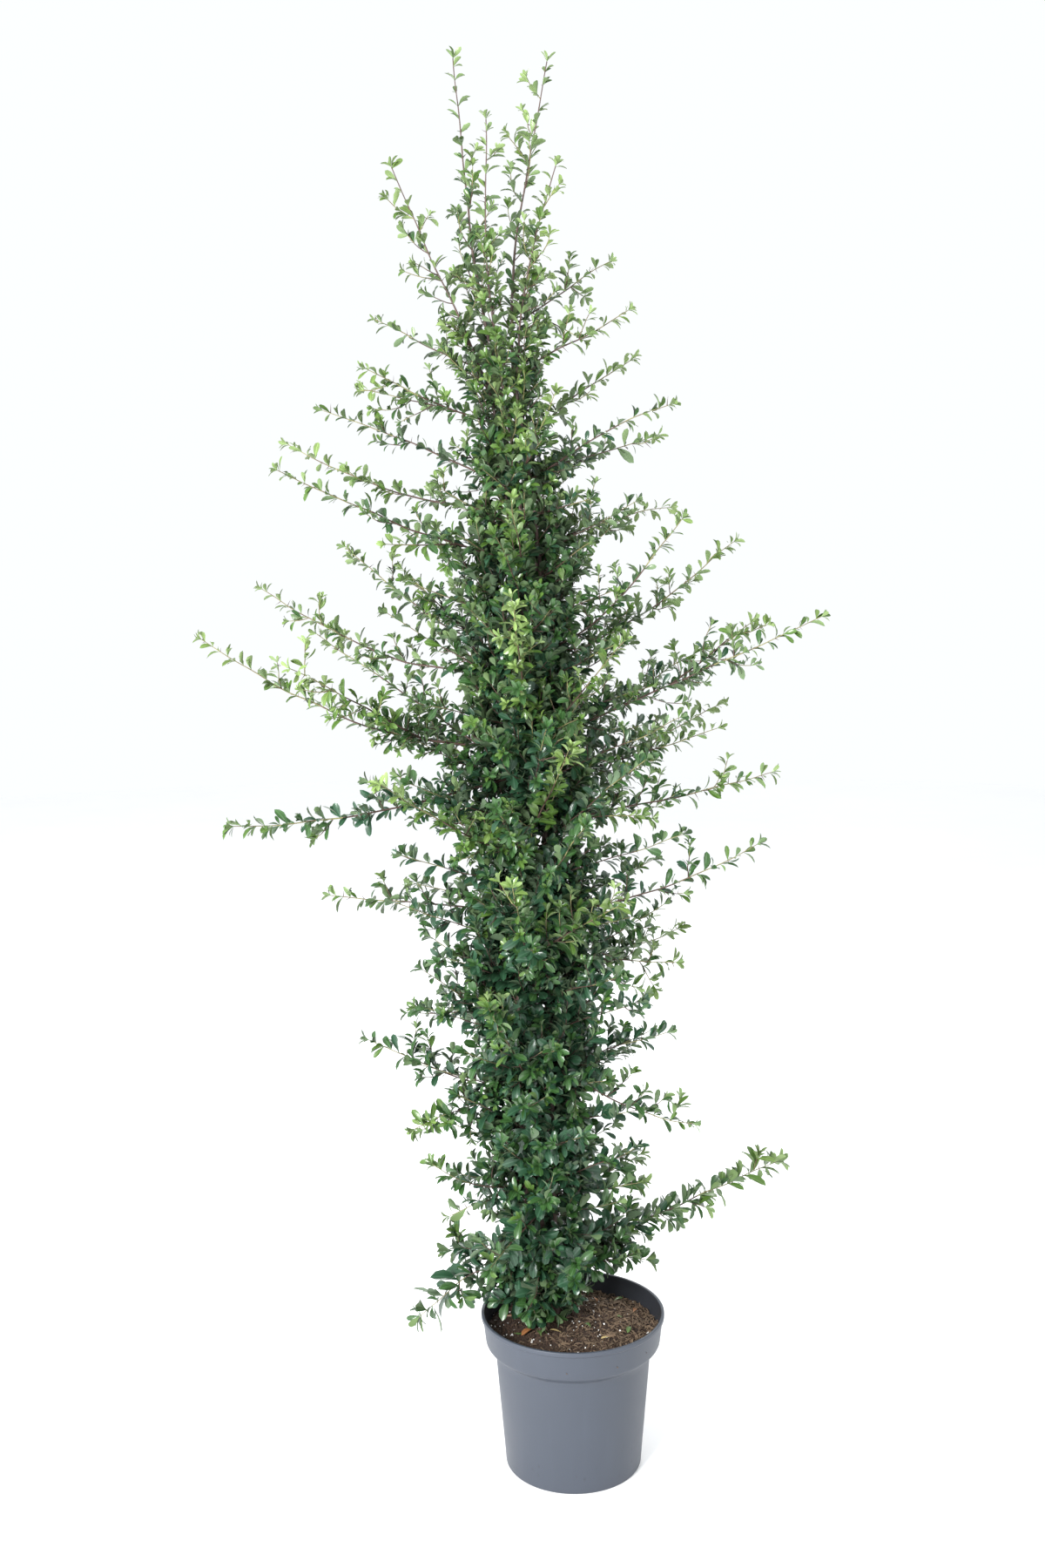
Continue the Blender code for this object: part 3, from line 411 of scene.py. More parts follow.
# A fork leaves its shoot's stem at a share of the reach
FORKS = (
    Fork("left_02", 0.35, 150, 0.165, 0.040),
    Fork("left_05", 0.25, 225, 0.145, 0.000),
    Fork("left_06", 0.25, 190, 0.120, 0.120),
    Fork("left_08", 0.12, 150, 0.320, 0.175),
    Fork("left_08", 0.30, 225, 0.255, 0.125),
    Fork("left_12", 0.15, 160, 0.170, -0.015),
    Fork("left_13", 0.10, 205, 0.160, -0.035),
    Fork("left_14", 0.15, 160, 0.110, -0.065),
    Fork("left_15", 0.15, 150, 0.145, -0.005),
    Fork("right_01", 0.20, -15, 0.085, -0.045),
    Fork("right_04", 0.15, 25, 0.190, 0.050),
    Fork("right_05", 0.15, -30, 0.085, 0.025),
    Fork("right_08", 0.45, 25, 0.150, 0.095),
    Fork("right_08", 0.12, 28, 0.235, 0.115),
    Fork("right_09", 0.15, -15, 0.240, 0.080),
    Fork("right_10", 0.10, -40, 0.130, 0.015),
    Fork("right_12", 0.10, -15, 0.195, 0.005),
    Fork("right_13", 0.10, 25, 0.155, 0.050),
    Fork("right_14", 0.15, -20, 0.130, 0.035),
    Fork("right_15", 0.08, 2, 0.125, -0.020),
    Fork("right_15", 0.16, 50, 0.090, -0.010),
    Fork("front_06", 0.20, -40, 0.185, 0.110),
)

# Ages of leaves at a shoot's root and tip, from 0 for old and dark to 1 for new and light
SHOOT_AGES = (0.18, 0.68)
LOW_SHOOT_AGES = (0.08, 0.44)
LOW_SHOOTS_BELOW = 0.80
BOUGH_AGES = (0.08, 0.30)
LEADER_AGES = (0.36, 0.66)
TWIG_GAIN = 0.20
OWN_AGES = {
    "left_01": (0.34, 0.68), "left_02": (0.34, 0.72), "left_08": (0.24, 0.78), "left_09": (0.02, 0.50),
    "left_10": (0.34, 0.84), "left_15": (0.06, 0.40), "right_01": (0.38, 0.66), "right_02": (0.30, 0.70),
    "right_03": (0.28, 0.70), "right_05": (0.30, 0.72), "right_08": (0.22, 0.70), "right_14": (0.10, 0.50),
    "right_15": (0.08, 0.56), "front_01": (0.40, 0.74), "front_02": (0.34, 0.72), "front_03": (0.42, 0.90),
    "front_04": (0.34, 0.76), "front_05": (0.42, 0.84), "front_06": (0.22, 0.74), "front_07": (0.18, 0.58),
    "front_08": (0.06, 0.42), "back_01": (0.32, 0.70),
}
LARGE_LEAVED = {"left_09": 1.08, "left_15": 1.34, "right_14": 1.24, "right_15": 1.22,
                "front_08": 1.20}

# Finishes
MOTTLE_FINE_SHARE = 0.35
MOTTLE_RANGE = (0.48, 0.88)
SPLASH_COLOUR = (0.014, 0.011, 0.009, 1.0)
SPLASH_HEIGHT = 0.10
SPLASH_STRENGTH = 0.62
STREAK_STRENGTH = 0.14
# Painted shade on the pot's inner wall: a near-black mixed in where the surface faces the axis
POT_INSIDE_SHADE_COLOUR = (0.012, 0.012, 0.013, 1.0)
POT_INSIDE_SHADE_STRENGTH = 0.72
POT_GRAIN_DEPTH = 0.00005
GREY_BARK_SHARE = 0.6
GREY_BARK_LIFT = 0.04
PORE_STRENGTH = 0.55
PORE_HEIGHT = 0.8
PORE_DEPTH = 0.0004
RIB_STRENGTH = 0.45
UNDERSIDE_GREY = (0.085, 0.105, 0.062)
UNDERSIDE_DULLER = 0.25
LEAF_GLOSS = (0.27, 0.29, 0.32, 0.36, 0.42)
LEAF_GRAIN_DEPTH = 0.00012
SKY_COLOUR = (0.962, 0.984, 1.0, 1.0)

# Leaves that lie on the soil
FALLEN_TONES = {"green": (0.075, 0.130, 0.034), "straw": (0.430, 0.330, 0.150),
                "rust": (0.260, 0.105, 0.036)}
FALLEN_LIFT = 0.0040
FALLEN_TILT = math.radians(14)
FALLEN = (
    Fallen(-0.081, 0.098, 20, 0.023, "straw"),
    Fallen(-0.020, -0.040, 75, 0.021, "straw"),
    Fallen(-0.067, -0.026, 130, 0.024, "rust"),
    Fallen(-0.054, -0.052, 10, 0.022, "green"),
    Fallen(-0.100, -0.030, 250, 0.018, "green"),
    Fallen(0.020, -0.100, 200, 0.019, "rust"),
    Fallen(0.085, 0.015, 60, 0.021, "green"),
    Fallen(0.074, 0.088, 300, 0.020, "green"),
    Fallen(0.097, -0.018, 160, 0.019, "green"),
    Fallen(0.060, -0.060, 110, 0.017, "straw"),
    Fallen(0.105, 0.040, 340, 0.018, "rust"),
    Fallen(0.040, 0.100, 220, 0.021, "rust"),
    Fallen(-0.020, 0.118, 100, 0.022, "green"),
    Fallen(-0.118, 0.030, 280, 0.020, "rust"),
    Fallen(0.030, -0.020, 35, 0.018, "green"),
    Fallen(0.000, 0.080, 170, 0.019, "straw"),
)

# Camera of the picture, and the lights round the plant
CAMERA_AT = (-0.0755, -2.5636, 1.503)
CAMERA_PITCH = math.radians(7.623)
CAMERA_ROLL = math.radians(-0.583)
CAMERA_LENS = 36.835
CAMERA_SENSOR = 36.0
FLOOR_RADIUS = 9.0
FLOOR_SIDES = 96
LIGHT_TARGET = (-0.05, 0.0, 1.1)
KEY_AT = (-2.3, -3.2, 2.2)
FILL_AT = (2.6, -2.4, 2.0)
BACK_AT = (0.6, 3.2, 3.4)
LIGHT_SIZE = 1.7


def colour_setting(name, description, default):
    """A colour that a user may change."""
    return FloatVectorProperty(name=name, description=description, default=default,
                               subtype="COLOR", size=3)


def amount_setting(name, description, default, **limits):
    """A value from nothing up that a user may change."""
    return FloatProperty(name=name, description=description, default=default, min=0.0, **limits)


class FIRETHORN_PG_pot(bpy.types.PropertyGroup):
    """Finish of the pot."""

    colour: colour_setting("Plastic", "Colour of the moulded plastic", (0.040, 0.048, 0.065))
    roughness: amount_setting("Roughness", "Roughness of the plastic", 0.46, subtype="FACTOR", max=1.0)
    rounding: amount_setting("Rounding", "Radius of the moulded edges", 0.0016,
                             unit="LENGTH", max=0.004)


class FIRETHORN_PG_soil(bpy.types.PropertyGroup):
    """Colours and cover of the potting mix."""

    earth: colour_setting("Earth", "Colour of the damp mix", (0.022, 0.012, 0.007))
    fibre: colour_setting("Fibre", "Colour of the bark fibre", (0.170, 0.114, 0.070))
    grain: colour_setting("Grain", "Colour of the white grains", (0.80, 0.79, 0.76))
    crumbs: amount_setting("Crumbs", "Crumbs on a square metre", 36000.0)
    chips: amount_setting("Chips", "Slivers of bark on a square metre", 22000.0)
    grains: amount_setting("Grains", "White grains on a square metre", 1900.0)
    seed: IntProperty(name="Seed", description="Seed of the cover", default=7)


class FIRETHORN_PG_plant(bpy.types.PropertyGroup):
    """Growth and colours of the plant."""

    seed: IntProperty(name="Seed", description="Seed of the growth", default=5)
    leaf_length: FloatProperty(name="Leaf Length", description="Length of a full leaf",
                               unit="LENGTH", min=0.005, max=0.06, default=0.0264)
    spray_step: FloatProperty(name="Spray Step", description="Height between sprays in the column",
                              unit="LENGTH", min=0.002, max=0.05, default=0.0028)
    bark: colour_setting("Bark", "Colour of the bark", (0.078, 0.042, 0.030))
    green_stem: colour_setting("Green Stem", "Colour of the new stems", (0.235, 0.230, 0.090))
    deep: colour_setting("Deep", "Colour of the oldest leaves", (0.021, 0.066, 0.032))
    dark: colour_setting("Dark", "Colour of old leaves", (0.031, 0.086, 0.021))
    mid: colour_setting("Mid", "Colour of full grown leaves", (0.066, 0.134, 0.022))
    fresh: colour_setting("Fresh", "Colour of young leaves", (0.122, 0.198, 0.046))
    lime: colour_setting("Lime", "Colour of the newest leaves", (0.190, 0.285, 0.082))


class FIRETHORN_PG_stage(bpy.types.PropertyGroup):
    """Floor and light round the plant."""

    floor: colour_setting("Floor", "Colour of the floor", (0.975, 0.978, 0.98))
    sky: amount_setting("Sky", "Strength of the even light", 1.02)
    key: amount_setting("Key", "Main light", 340.0, unit="POWER")
    fill: amount_setting("Fill", "Side light", 36.0, unit="POWER")
    back: amount_setting("Back", "Rear light", 60.0, unit="POWER")


def smooth_step(t):
    """A rise from 0 to 1 with level ends."""
    t = min(max(t, 0.0), 1.0)
    return t * t * (3.0 - 2.0 * t)


def unit(heading):
    """The level direction of a heading in degrees."""
    return Vector((math.cos(math.radians(heading)), math.sin(math.radians(heading)), 0.0))


def crown_axis(z):
    """The crown's middle line at a height."""
    h = max(0.0, z - SOIL_TOP)
    x = FOOT_X - SIDE_STEP * (1.0 - math.exp(-h / SIDE_STEP_FADE)) - SIDE_DRIFT * h
    x -= TOP_LEAN * smooth_step((z - TOP_LEAN_FROM) / TOP_LEAN_SPAN)
    return Vector((x, FOOT_Y * math.exp(-h / FOOT_Y_FADE), z))


def ring_radius(z):
    """How far the boughs stand from the crown's middle line."""
    h = max(0.0, z - TRUNK_TOP - BOUGH_STRAIGHT)
    opened = (RING_WIDE - RING_FOOT) * (1.0 - math.exp(-h / RING_OPENS_OVER))
    narrowed = min(max((z - RING_NARROWS_FROM) / RING_NARROWS_SPAN, 0.0), 1.0)
    return RING_FOOT + opened - RING_NARROWS_BY * narrowed


def bough_point(bough, z):
    """The middle of a bough, and of its leader, at a height."""
    tip = Vector(bough.tip)
    at_tip = crown_axis(tip.z) + ring_radius(tip.z) * unit(bough.heading)
    here = crown_axis(max(z, TRUNK_TOP + BOUGH_STRAIGHT))
    here.z = z
    fan = max(0.0, (z - FAN_FROM) / (tip.z - FAN_FROM)) ** FAN_POWER
    return here + ring_radius(z) * unit(bough.heading) + (tip - at_tip) * fan


def bough_radius(bough, z):
    """A bough's radius at a height, down to its leader's tip."""
    share = (z - TRUNK_TOP) / (BOUGH_REFERENCE_TOP - TRUNK_TOP)
    radius = BOUGH_FOOT_RADIUS + (BOUGH_TIP_RADIUS - BOUGH_FOOT_RADIUS) * min(share, 1.0)
    leader = smooth_step((z - bough.tip[2] + LEADER_TAPER_HEIGHT) / LEADER_TAPER_HEIGHT)
    return radius + (LEADER_TIP_RADIUS - radius) * leader


def on_line(points, z):
    """The place on a rising line of points at a height."""
    i = 1
    while i < len(points) - 1 and points[i].z < z:
        i += 1
    low, high = points[i - 1], points[i]
    return low.lerp(high, (z - low.z) / (high.z - low.z))


def smoothed(points, step):
    """Points about a step apart on a smooth curve through the given ones."""
    ends = [points[0] * 2 - points[1], *points, points[-1] * 2 - points[-2]]
    made = [points[0]]
    for a, b, c, d in zip(ends, ends[1:], ends[2:], ends[3:]):
        count = max(1, round((c - b).length / step))
        for i in range(1, count + 1):
            t = i / count
            bend = (a * 2 - b * 5 + c * 4 - d) * t * t + (b * 3 - a - c * 3 + d) * t ** 3
            made.append((b * 2 + (c - a) * t + bend) / 2)
    return made


def wandering(points, amount, seed):
    """The same line with a slow sideways wander that grows from nothing at its root."""
    made = []
    for i, point in enumerate(points):
        place = point * STEM_WANDERS_PER_M + Vector((seed, seed, seed))
        drift = Vector([noise.noise(place + offset) for offset in WANDER_OFFSETS])
        made.append(point + drift * amount * smooth_step(2.0 * i / len(points)))
    return made


def walk(points, first, step):
    """Yield place, direction and share of the way at even steps along points."""
    lengths = [(b - a).length for a, b in zip(points, points[1:])]
    total = sum(lengths)
    at = first
    i = 0
    passed = 0.0
    while at <= total:
        while i < len(lengths) - 1 and passed + lengths[i] < at:
            passed += lengths[i]
            i += 1
        a, b = points[i], points[i + 1]
        yield a.lerp(b, (at - passed) / lengths[i]), (b - a).normalized(), at / total
        at += step


def tapered(count, root, tip):
    """Radii that run evenly from root to tip."""
    return [root + (tip - root) * i / (count - 1) for i in range(count)]


@lru_cache(maxsize=None)
def bough_line(bough):
    """The middle line of a bough and its leader, from inside the trunk to the tip."""
    low = TRUNK_TOP - BOUGH_SUNK
    count = round((bough.tip[2] - low) / BOUGH_STEP)
    line = [bough_point(bough, low + (bough.tip[2] - low) * i / count) for i in range(count + 1)]
    return wandering(line, BOUGH_WANDER, bough.heading)


def reach_out(start, heading, reach, rise, bow):
    """Points of a stem that reaches out from a start."""
    steps = max(3, round(reach / STEM_STEP))
    points = []
    for i in range(steps + 1):
        t = i / steps
        height = rise * t + bow * math.sin(math.pi * t)
        points.append(start + unit(heading) * (reach * t) + UP * height)
    return points


def clear_of_pot(place):
    """True where a place is outside the pot, over its rim or over the soil."""
    from_middle = math.hypot(place.x, place.y)
    if from_middle > RIM_RADIUS + POT_CLEARANCE:
        return place.z > POT_CLEARANCE
    over_soil = from_middle < SOIL_RADIUS - POT_CLEARANCE
    return place.z > (SOIL_TOP if over_soil else POT_HEIGHT) + POT_CLEARANCE


def in_reach(place):
    """True where a place is within the box of the construction."""
    low, high = CAD_BOX
    return all(a - REACH_ALLOWANCE < p < b + REACH_ALLOWANCE for a, p, b in zip(low, place, high))


def at_height(table, z):
    """A value read at a height from a table of heights and values."""
    for (low, lower), (high, upper) in zip(table, table[1:]):
        if z <= high:
            return lower + (upper - lower) * (z - low) / (high - low)
    return table[-1][1]


def root_facing(out, z):
    """The place at a height on the bough that faces a direction."""
    bough = max(BOUGHS, key=lambda b: unit(b.heading).dot(out))
    return on_line(bough_line(bough), z)


class Plant:
    """The plant as it grows: stems, thorns and leaves, as plain values."""

    def __init__(self, seed, leaf_length, spray_step):
        self.random = random.Random(seed)
        self.leaf_length = leaf_length
        self.woody = []
        self.green = []
        self.thorns = []
        self.leaves = {(tint, zone): [] for tint in TINTS for zone in ZONES}
        for bough in BOUGHS:
            self.clothe_bough(bough)
        for shoot in SHOOTS:
            self.grow_shoot(shoot)
        self.grow_infill()
        self.fill_column(spray_step)

    def jitter(self, amount):
        """A random vector."""
        return Vector([self.random.gauss(0.0, amount) for _ in range(3)])

    def add_stem(self, points, root, tip, green_from):
        """A tapering stem, woody up to a share of its length and green from there."""
        radii = tapered(len(points), root, tip)
        turn = min(max(round(green_from * (len(points) - 1)), 0), len(points) - 1)
        if turn > 0:
            self.woody.append((points[:turn + 1], radii[:turn + 1]))
        if turn < len(points) - 1:
            self.green.append((points[turn:], radii[turn:]))

    def add_leaf(self, root, direction, face, length, age, forms):
        """One leaf with its upper side turned to face, if it stays clear of the pot and in reach."""
        level = int((age + self.random.gauss(0.0, AGE_JITTER)) * len(TINTS))
        form = self.random.randrange(*forms)
        tip = root + direction * length
        if not (clear_of_pot(root) and clear_of_pot(tip) and in_reach(tip)):
            return
        normal = (face - direction * face.dot(direction)).normalized()
        turn = Matrix((direction.cross(normal), direction, normal)).transposed().to_quaternion()
        tint = TINTS[min(max(level, 0), len(TINTS) - 1)]
        zone = next(zone for zone, top in ZONES.items() if root.z < top)
        self.leaves[tint, zone].append((root, turn, length, form))

    def cluster(self, place, along, side, length, age, habit):
        """The leaves of one node, a full one and lesser ones fanned out round it."""
        for k in range(self.random.randint(*habit.leaves)):
            out = Quaternion(along, self.random.gauss(0.0, CLUSTER_SPREAD)) @ side
            lean = self.random.uniform(*LEAF_LEAN)
            direction = along * math.cos(lean) + out * math.sin(lean) + UP * LEAF_LIFT
            face = UP * LEAF_FACES_UP + along * LEAF_FACES_OUT + self.jitter(LEAF_FACE_JITTER)
            size = length * (1.0 + self.random.gauss(0.0, LEAF_SIZE_JITTER))
            if k:
                size *= self.random.uniform(*LESSER_LEAF)
            self.add_leaf(place, direction.normalized(), face, size, age, habit.forms)

    def rosette(self, tip, along, length, age, habit):
        """The small leaves at the end of a stem."""
        turn = self.random.uniform(0.0, math.tau)
        for k in range(ROSETTE_LEAVES):
            side = Quaternion(along, turn + GOLDEN_ANGLE * k) @ along.orthogonal().normalized()
            lean = self.random.uniform(*ROSETTE_LEAN)
            direction = (along * math.cos(lean) + side * math.sin(lean)).normalized()
            size = length * ROSETTE_SIZE * self.random.uniform(*LESSER_LEAF) / LESSER_LEAF[1]
            face = along - side + self.jitter(LEAF_FACE_JITTER)
            self.add_leaf(tip, direction, face, size, age, habit.forms)

    def clothe(self, points, habit, ages, size=1.0):
        """Leaves, thorns and side twigs along a stem, with leaf ages at its root and tip."""
        turn = self.random.uniform(0.0, math.tau)
        low = 1.0 - smooth_step((points[0].z - LOW_LEAF_FROM) / LOW_LEAF_SPAN)
        length = self.leaf_length * habit.size * size * (1.0 + LOW_LEAF_GAIN * low)
        shift = self.random.gauss(0.0, SPRAY_AGE_JITTER)
        root_age, tip_age = ages[0] + shift, ages[1] + shift
        for place, along, share in walk(points, habit.first, habit.spacing):
            turn += GOLDEN_ANGLE + self.random.gauss(0.0, TURN_JITTER)
            side = Quaternion(along, turn) @ along.orthogonal().normalized()
            here = root_age + (tip_age - root_age) * share * share
            shrunk = length * (1.0 - TIP_LEAF_SHRINK * share ** 3)
            self.cluster(place, along, side, shrunk, here, habit)
            if self.random.random() < habit.thorns:
                lean = along * math.cos(THORN_LEAN) - side * math.sin(THORN_LEAN)
                self.thorns.append((place, lean, self.random.uniform(*THORN_LENGTH)))
            if self.random.random() < habit.twigs * (1.0 - share):
                direction = along * TWIG_FORWARD + side + UP * TWIG_LIFT
                twig = habit.twig_length * self.random.uniform(*TWIG_LENGTHS)
                twig *= 1.0 - TWIG_SHORTENS * share
                self.grow_twig(place, direction, twig, TWIG_HABIT, here, size)
        self.rosette(points[-1], (points[-1] - points[-2]).normalized(), length, tip_age, habit)

    def grow_twig(self, root, direction, length, habit, age, size=1.0, gain=TWIG_GAIN):
        """A short stem that bends up as it grows, if it stays clear of the pot."""
        points = [root]
        steps = max(3, round(length / STEM_STEP))
        for _ in range(steps):
            direction = direction.normalized() + UP * TWIG_LIFT + self.jitter(TWIG_JITTER)
            direction.normalize()
            points.append(points[-1] + direction * (length / steps))
        if all(clear_of_pot(point) for point in points):
            self.add_stem(points, TWIG_RADIUS, STEM_TIP_RADIUS, OLD_TWIG_WOOD - TWIG_WOOD_LOSS * age)
            self.clothe(points, habit, (age, age + gain), size)

    def clothe_bough(self, bough):
        """Leaves close along a bough in the crown, and sparser ones up its open leader."""
        line = bough_line(bough)
        open_from = bough.tip[2] - OPEN_LEADER
        low = [p for p in line if TRUNK_TOP + BARE_BOUGH < p.z < open_from]
        high = [p for p in line if p.z >= open_from]
        self.clothe(low, BOUGH_HABIT, BOUGH_AGES)
        self.clothe(high, LEADER_HABIT, LEADER_AGES)

    def grow_shoot(self, shoot):
        """A shoot with its forks, all clothed."""
        bough = next(b for b in BOUGHS if b.name == shoot.bough)
        root = on_line(bough_line(bough), shoot.height)
        start = root + unit(shoot.heading) * (bough_radius(bough, shoot.height) + COLLAR)
        line = [root] + reach_out(start, shoot.heading, shoot.reach - COLLAR, shoot.rise, shoot.bow)
        line = wandering(smoothed(line, STEM_STEP), STEM_WANDER, shoot.height * WANDER_SEEDS_PER_M)
        ages = LOW_SHOOT_AGES if shoot.height < LOW_SHOOTS_BELOW else SHOOT_AGES
        ages = OWN_AGES.get(shoot.name, ages)
        size = LARGE_LEAVED.get(shoot.name, 1.0)
        radius = STEM_LEAST_RADIUS + STEM_RADIUS_PER_REACH * shoot.reach
        habit = HIGH_HABIT if shoot.height > HIGH_SHOOTS_FROM else SHOOT_HABIT
        if shoot.name in FULL_SHOOTS:
            habit = FULL_HABIT
        self.add_stem(line, radius, STEM_TIP_RADIUS, GREEN_FROM)
        self.clothe(line, habit, ages, size)
        for fork in [fork for fork in FORKS if fork.shoot == shoot.name]:
            start = line[round(fork.at * (len(line) - 1))]
            stem = reach_out(start, fork.heading, fork.reach, fork.rise, 0.0)
            stem = wandering(stem, STEM_WANDER, fork.heading)
            self.add_stem(stem, radius * FORK_RADIUS, STEM_TIP_RADIUS, GREEN_FROM)
            self.clothe(stem, habit, ages, size)

    def grow_infill(self):
        """Short shoots all round, between the dense middle and the long shoots."""
        for i in range(INFILL_COUNT):
            z = INFILL_LOW + (INFILL_HIGH - INFILL_LOW) * i / INFILL_COUNT
            heading = math.degrees(GOLDEN_ANGLE) * i
            root = root_facing(unit(heading), z)
            reach = at_height(COLUMN_HALF_WIDTHS, z) * self.random.uniform(*INFILL_REACH)
            rise = reach * self.random.uniform(*INFILL_RISE)
            line = wandering(reach_out(root, heading, reach, rise, 0.0), STEM_WANDER, heading)
            self.add_stem(line, STEM_LEAST_RADIUS, STEM_TIP_RADIUS, GREEN_FROM)
            # Tints by height from the column's table, which is partly painted shade
            age = at_height(COLUMN_AGES_AND_SHADE, z)
            self.clothe(line, INFILL_HABIT, (age, age + INFILL_GAIN))

    def fill_column(self, step):
        """Sprays all round the boughs that make the crown's middle dense and dark, their tints darkened
        partly as painted shade.
        """
        turn = 0.0
        z = COLUMN_LOW
        while z < COLUMN_HIGH:
            turn += GOLDEN_ANGLE
            out = unit(math.degrees(turn))
            root = root_facing(out, z)
            width = at_height(COLUMN_HALF_WIDTHS, z)
            clump = noise.noise((out * width + UP * z) * COLUMN_CLUMPS_PER_M)
            reach = width * (1.0 + COLUMN_CLUMPING * clump) * self.random.uniform(*COLUMN_REACH)
            hanging = z < HANGING_BELOW
            rise = self.random.uniform(*(HANGING_RISE if hanging else COLUMN_RISE))
            direction = (out + UP * rise).normalized()
            length = reach / direction.xy.length
            if direction.z < 0.0:
                length = min(length, (root.z - SOIL_TOP) * HANGING_SHARE / -direction.z)
            # A darker tint for the column's sprays: partly older inner leaves, partly painted shade
            age = at_height(COLUMN_AGES_AND_SHADE, z) + COLUMN_INNER_AGE_AND_SHADE
            if self.random.random() < at_height(BRIGHT_SPRAY_CHANCES, z):
                age += BRIGHT_SPRAY_GAIN
            habit = COLUMN_HABIT if z < DELICATE_FROM else COLUMN_TOP_HABIT
            self.grow_twig(root, direction, length, habit, age, gain=COLUMN_GAIN)
            thinner = 1.0 + max(0.0, (z - THINS_FROM) / THINS_SPAN) ** 2
            z += step * (HANGING_STEP if hanging else thinner)


@lru_cache(maxsize=None)
def grown(seed, leaf_length, spray_step):
    """The plant for a set of sizes, grown once."""
    return Plant(seed, leaf_length, spray_step)


def plant_of(context):
    """The grown plant for the panel's sizes."""
    looks = context.scene.firethorn_plant
    return grown(looks.seed, looks.leaf_length, looks.spray_step)


def node(tree, kind, inputs=None, **settings):
    """Add a node with its settings; each input is linked to a socket or set to a value."""
    made = tree.nodes.new(kind)
    for name, value in settings.items():
        setattr(made, name, value)
    for name, value in (inputs or {}).items():
        if isinstance(value, bpy.types.NodeSocket):
            tree.links.new(value, made.inputs[name])
        else:
            made.inputs[name].default_value = value
    return made


def math_node(tree, operation, *values):
    """The result of a math node."""
    return node(tree, "ShaderNodeMath", dict(enumerate(values)), operation=operation).outputs[0]


def mixed(tree, factor, a, b):
    """A mix of two colours."""
    return node(tree, "ShaderNodeMix", {0: factor, 6: a, 7: b}, data_type="RGBA").outputs[2]


def ranged(tree, value, low, high, to_low=0.0, to_high=1.0):
    """A value carried from one range to another."""
    inputs = {"Value": value, 1: low, 2: high, 3: to_low, 4: to_high}
    return node(tree, "ShaderNodeMapRange", inputs, clamp=True).outputs[0]


def new_group(name, kind, inputs, outputs):
    """An empty node group with named sockets, and its two ends."""
    group = bpy.data.node_groups.new(name, kind)
    for label, socket in inputs:
        group.interface.new_socket(label, in_out="INPUT", socket_type="NodeSocket" + socket)
    for label, socket in outputs:
        group.interface.new_socket(label, in_out="OUTPUT", socket_type="NodeSocket" + socket)
    start = group.nodes.new("NodeGroupInput").outputs
    end = group.nodes.new("NodeGroupOutput").inputs
    return group, start, end


def drift(tree, place, scale, detail=2.0, roughness=0.5):
    """The value of a noise texture."""
    inputs = {"Vector": place, "Scale": scale, "Detail": detail, "Roughness": roughness}
    return node(tree, "ShaderNodeTexNoise", inputs).outputs["Fac"]


@lru_cache(maxsize=None)
def mottle():
    """Shader group: a broad drift between two colours with a fine height."""
    inputs = [("Vector", "Vector"), ("Colour", "Color"), ("Second Colour", "Color"),
              ("Scale", "Float"), ("Fine Scale", "Float"), ("Amount", "Float")]
    outputs = [("Colour", "Color"), ("Mask", "Float"), ("Height", "Float")]
    group, start, end = new_group("mottle", "ShaderNodeTree", inputs, outputs)
    broad = drift(group, start["Vector"], start["Scale"], detail=4.0, roughness=0.6)
    fine = drift(group, start["Vector"], start["Fine Scale"], detail=3.0)
    both = math_node(group, "MULTIPLY_ADD", fine, MOTTLE_FINE_SHARE, broad)
    mask = ranged(group, both, *MOTTLE_RANGE)
    share = math_node(group, "MULTIPLY", mask, start["Amount"])
    group.links.new(mixed(group, share, start["Colour"], start["Second Colour"]), end["Colour"])
    group.links.new(mask, end["Mask"])
    group.links.new(fine, end["Height"])
    return group


@lru_cache(maxsize=None)
def speckle():
    """Shader group: scattered small spots, drawn out by its vector's scale."""
    inputs = [("Vector", "Vector"), ("Scale", "Float"), ("Size", "Float")]
    group, start, end = new_group("speckle", "ShaderNodeTree", inputs, [("Mask", "Float")])
    cells = node(group, "ShaderNodeTexVoronoi", {"Vector": start["Vector"], "Scale": start["Scale"]})
    mask = ranged(group, cells.outputs["Distance"], 0.0, start["Size"], 1.0, 0.0)
    group.links.new(mask, end["Mask"])
    return group


def blank_material(name):
    """A material with its node tree, shader and object coordinates."""
    made = bpy.data.materials.new(name)
    made.use_nodes = True
    tree = made.node_tree
    place = node(tree, "ShaderNodeTexCoord").outputs["Object"]
    return made, tree, tree.nodes["Principled BSDF"], place


def add_mottle(tree, place, colour, second, scale, fine_scale, amount):
    """A mottle group in a material."""
    inputs = {"Vector": place, "Colour": (*colour, 1.0), "Second Colour": (*second, 1.0),
              "Scale": scale, "Fine Scale": fine_scale, "Amount": amount}
    return node(tree, "ShaderNodeGroup", inputs, node_tree=mottle()).outputs


def add_speckle(tree, place, stretch, scale, size):
    """A speckle group in a material, stretched along the axes."""
    vector = node(tree, "ShaderNodeMapping", {"Vector": place, "Scale": stretch}).outputs[0]
    inputs = {"Vector": vector, "Scale": scale, "Size": size}
    return node(tree, "ShaderNodeGroup", inputs, node_tree=speckle()).outputs["Mask"]


def add_bump(tree, shader, height, distance, strength=1.0):
    """Bump on the shader's normal, with its depth in metres."""
    bump = node(tree, "ShaderNodeBump", {"Height": height, "Distance": distance, "Strength": strength})
    tree.links.new(bump.outputs["Normal"], shader.inputs["Normal"])


def scaled(colour, factor):
    """A colour made lighter or darker."""
    return tuple(channel * factor for channel in colour)


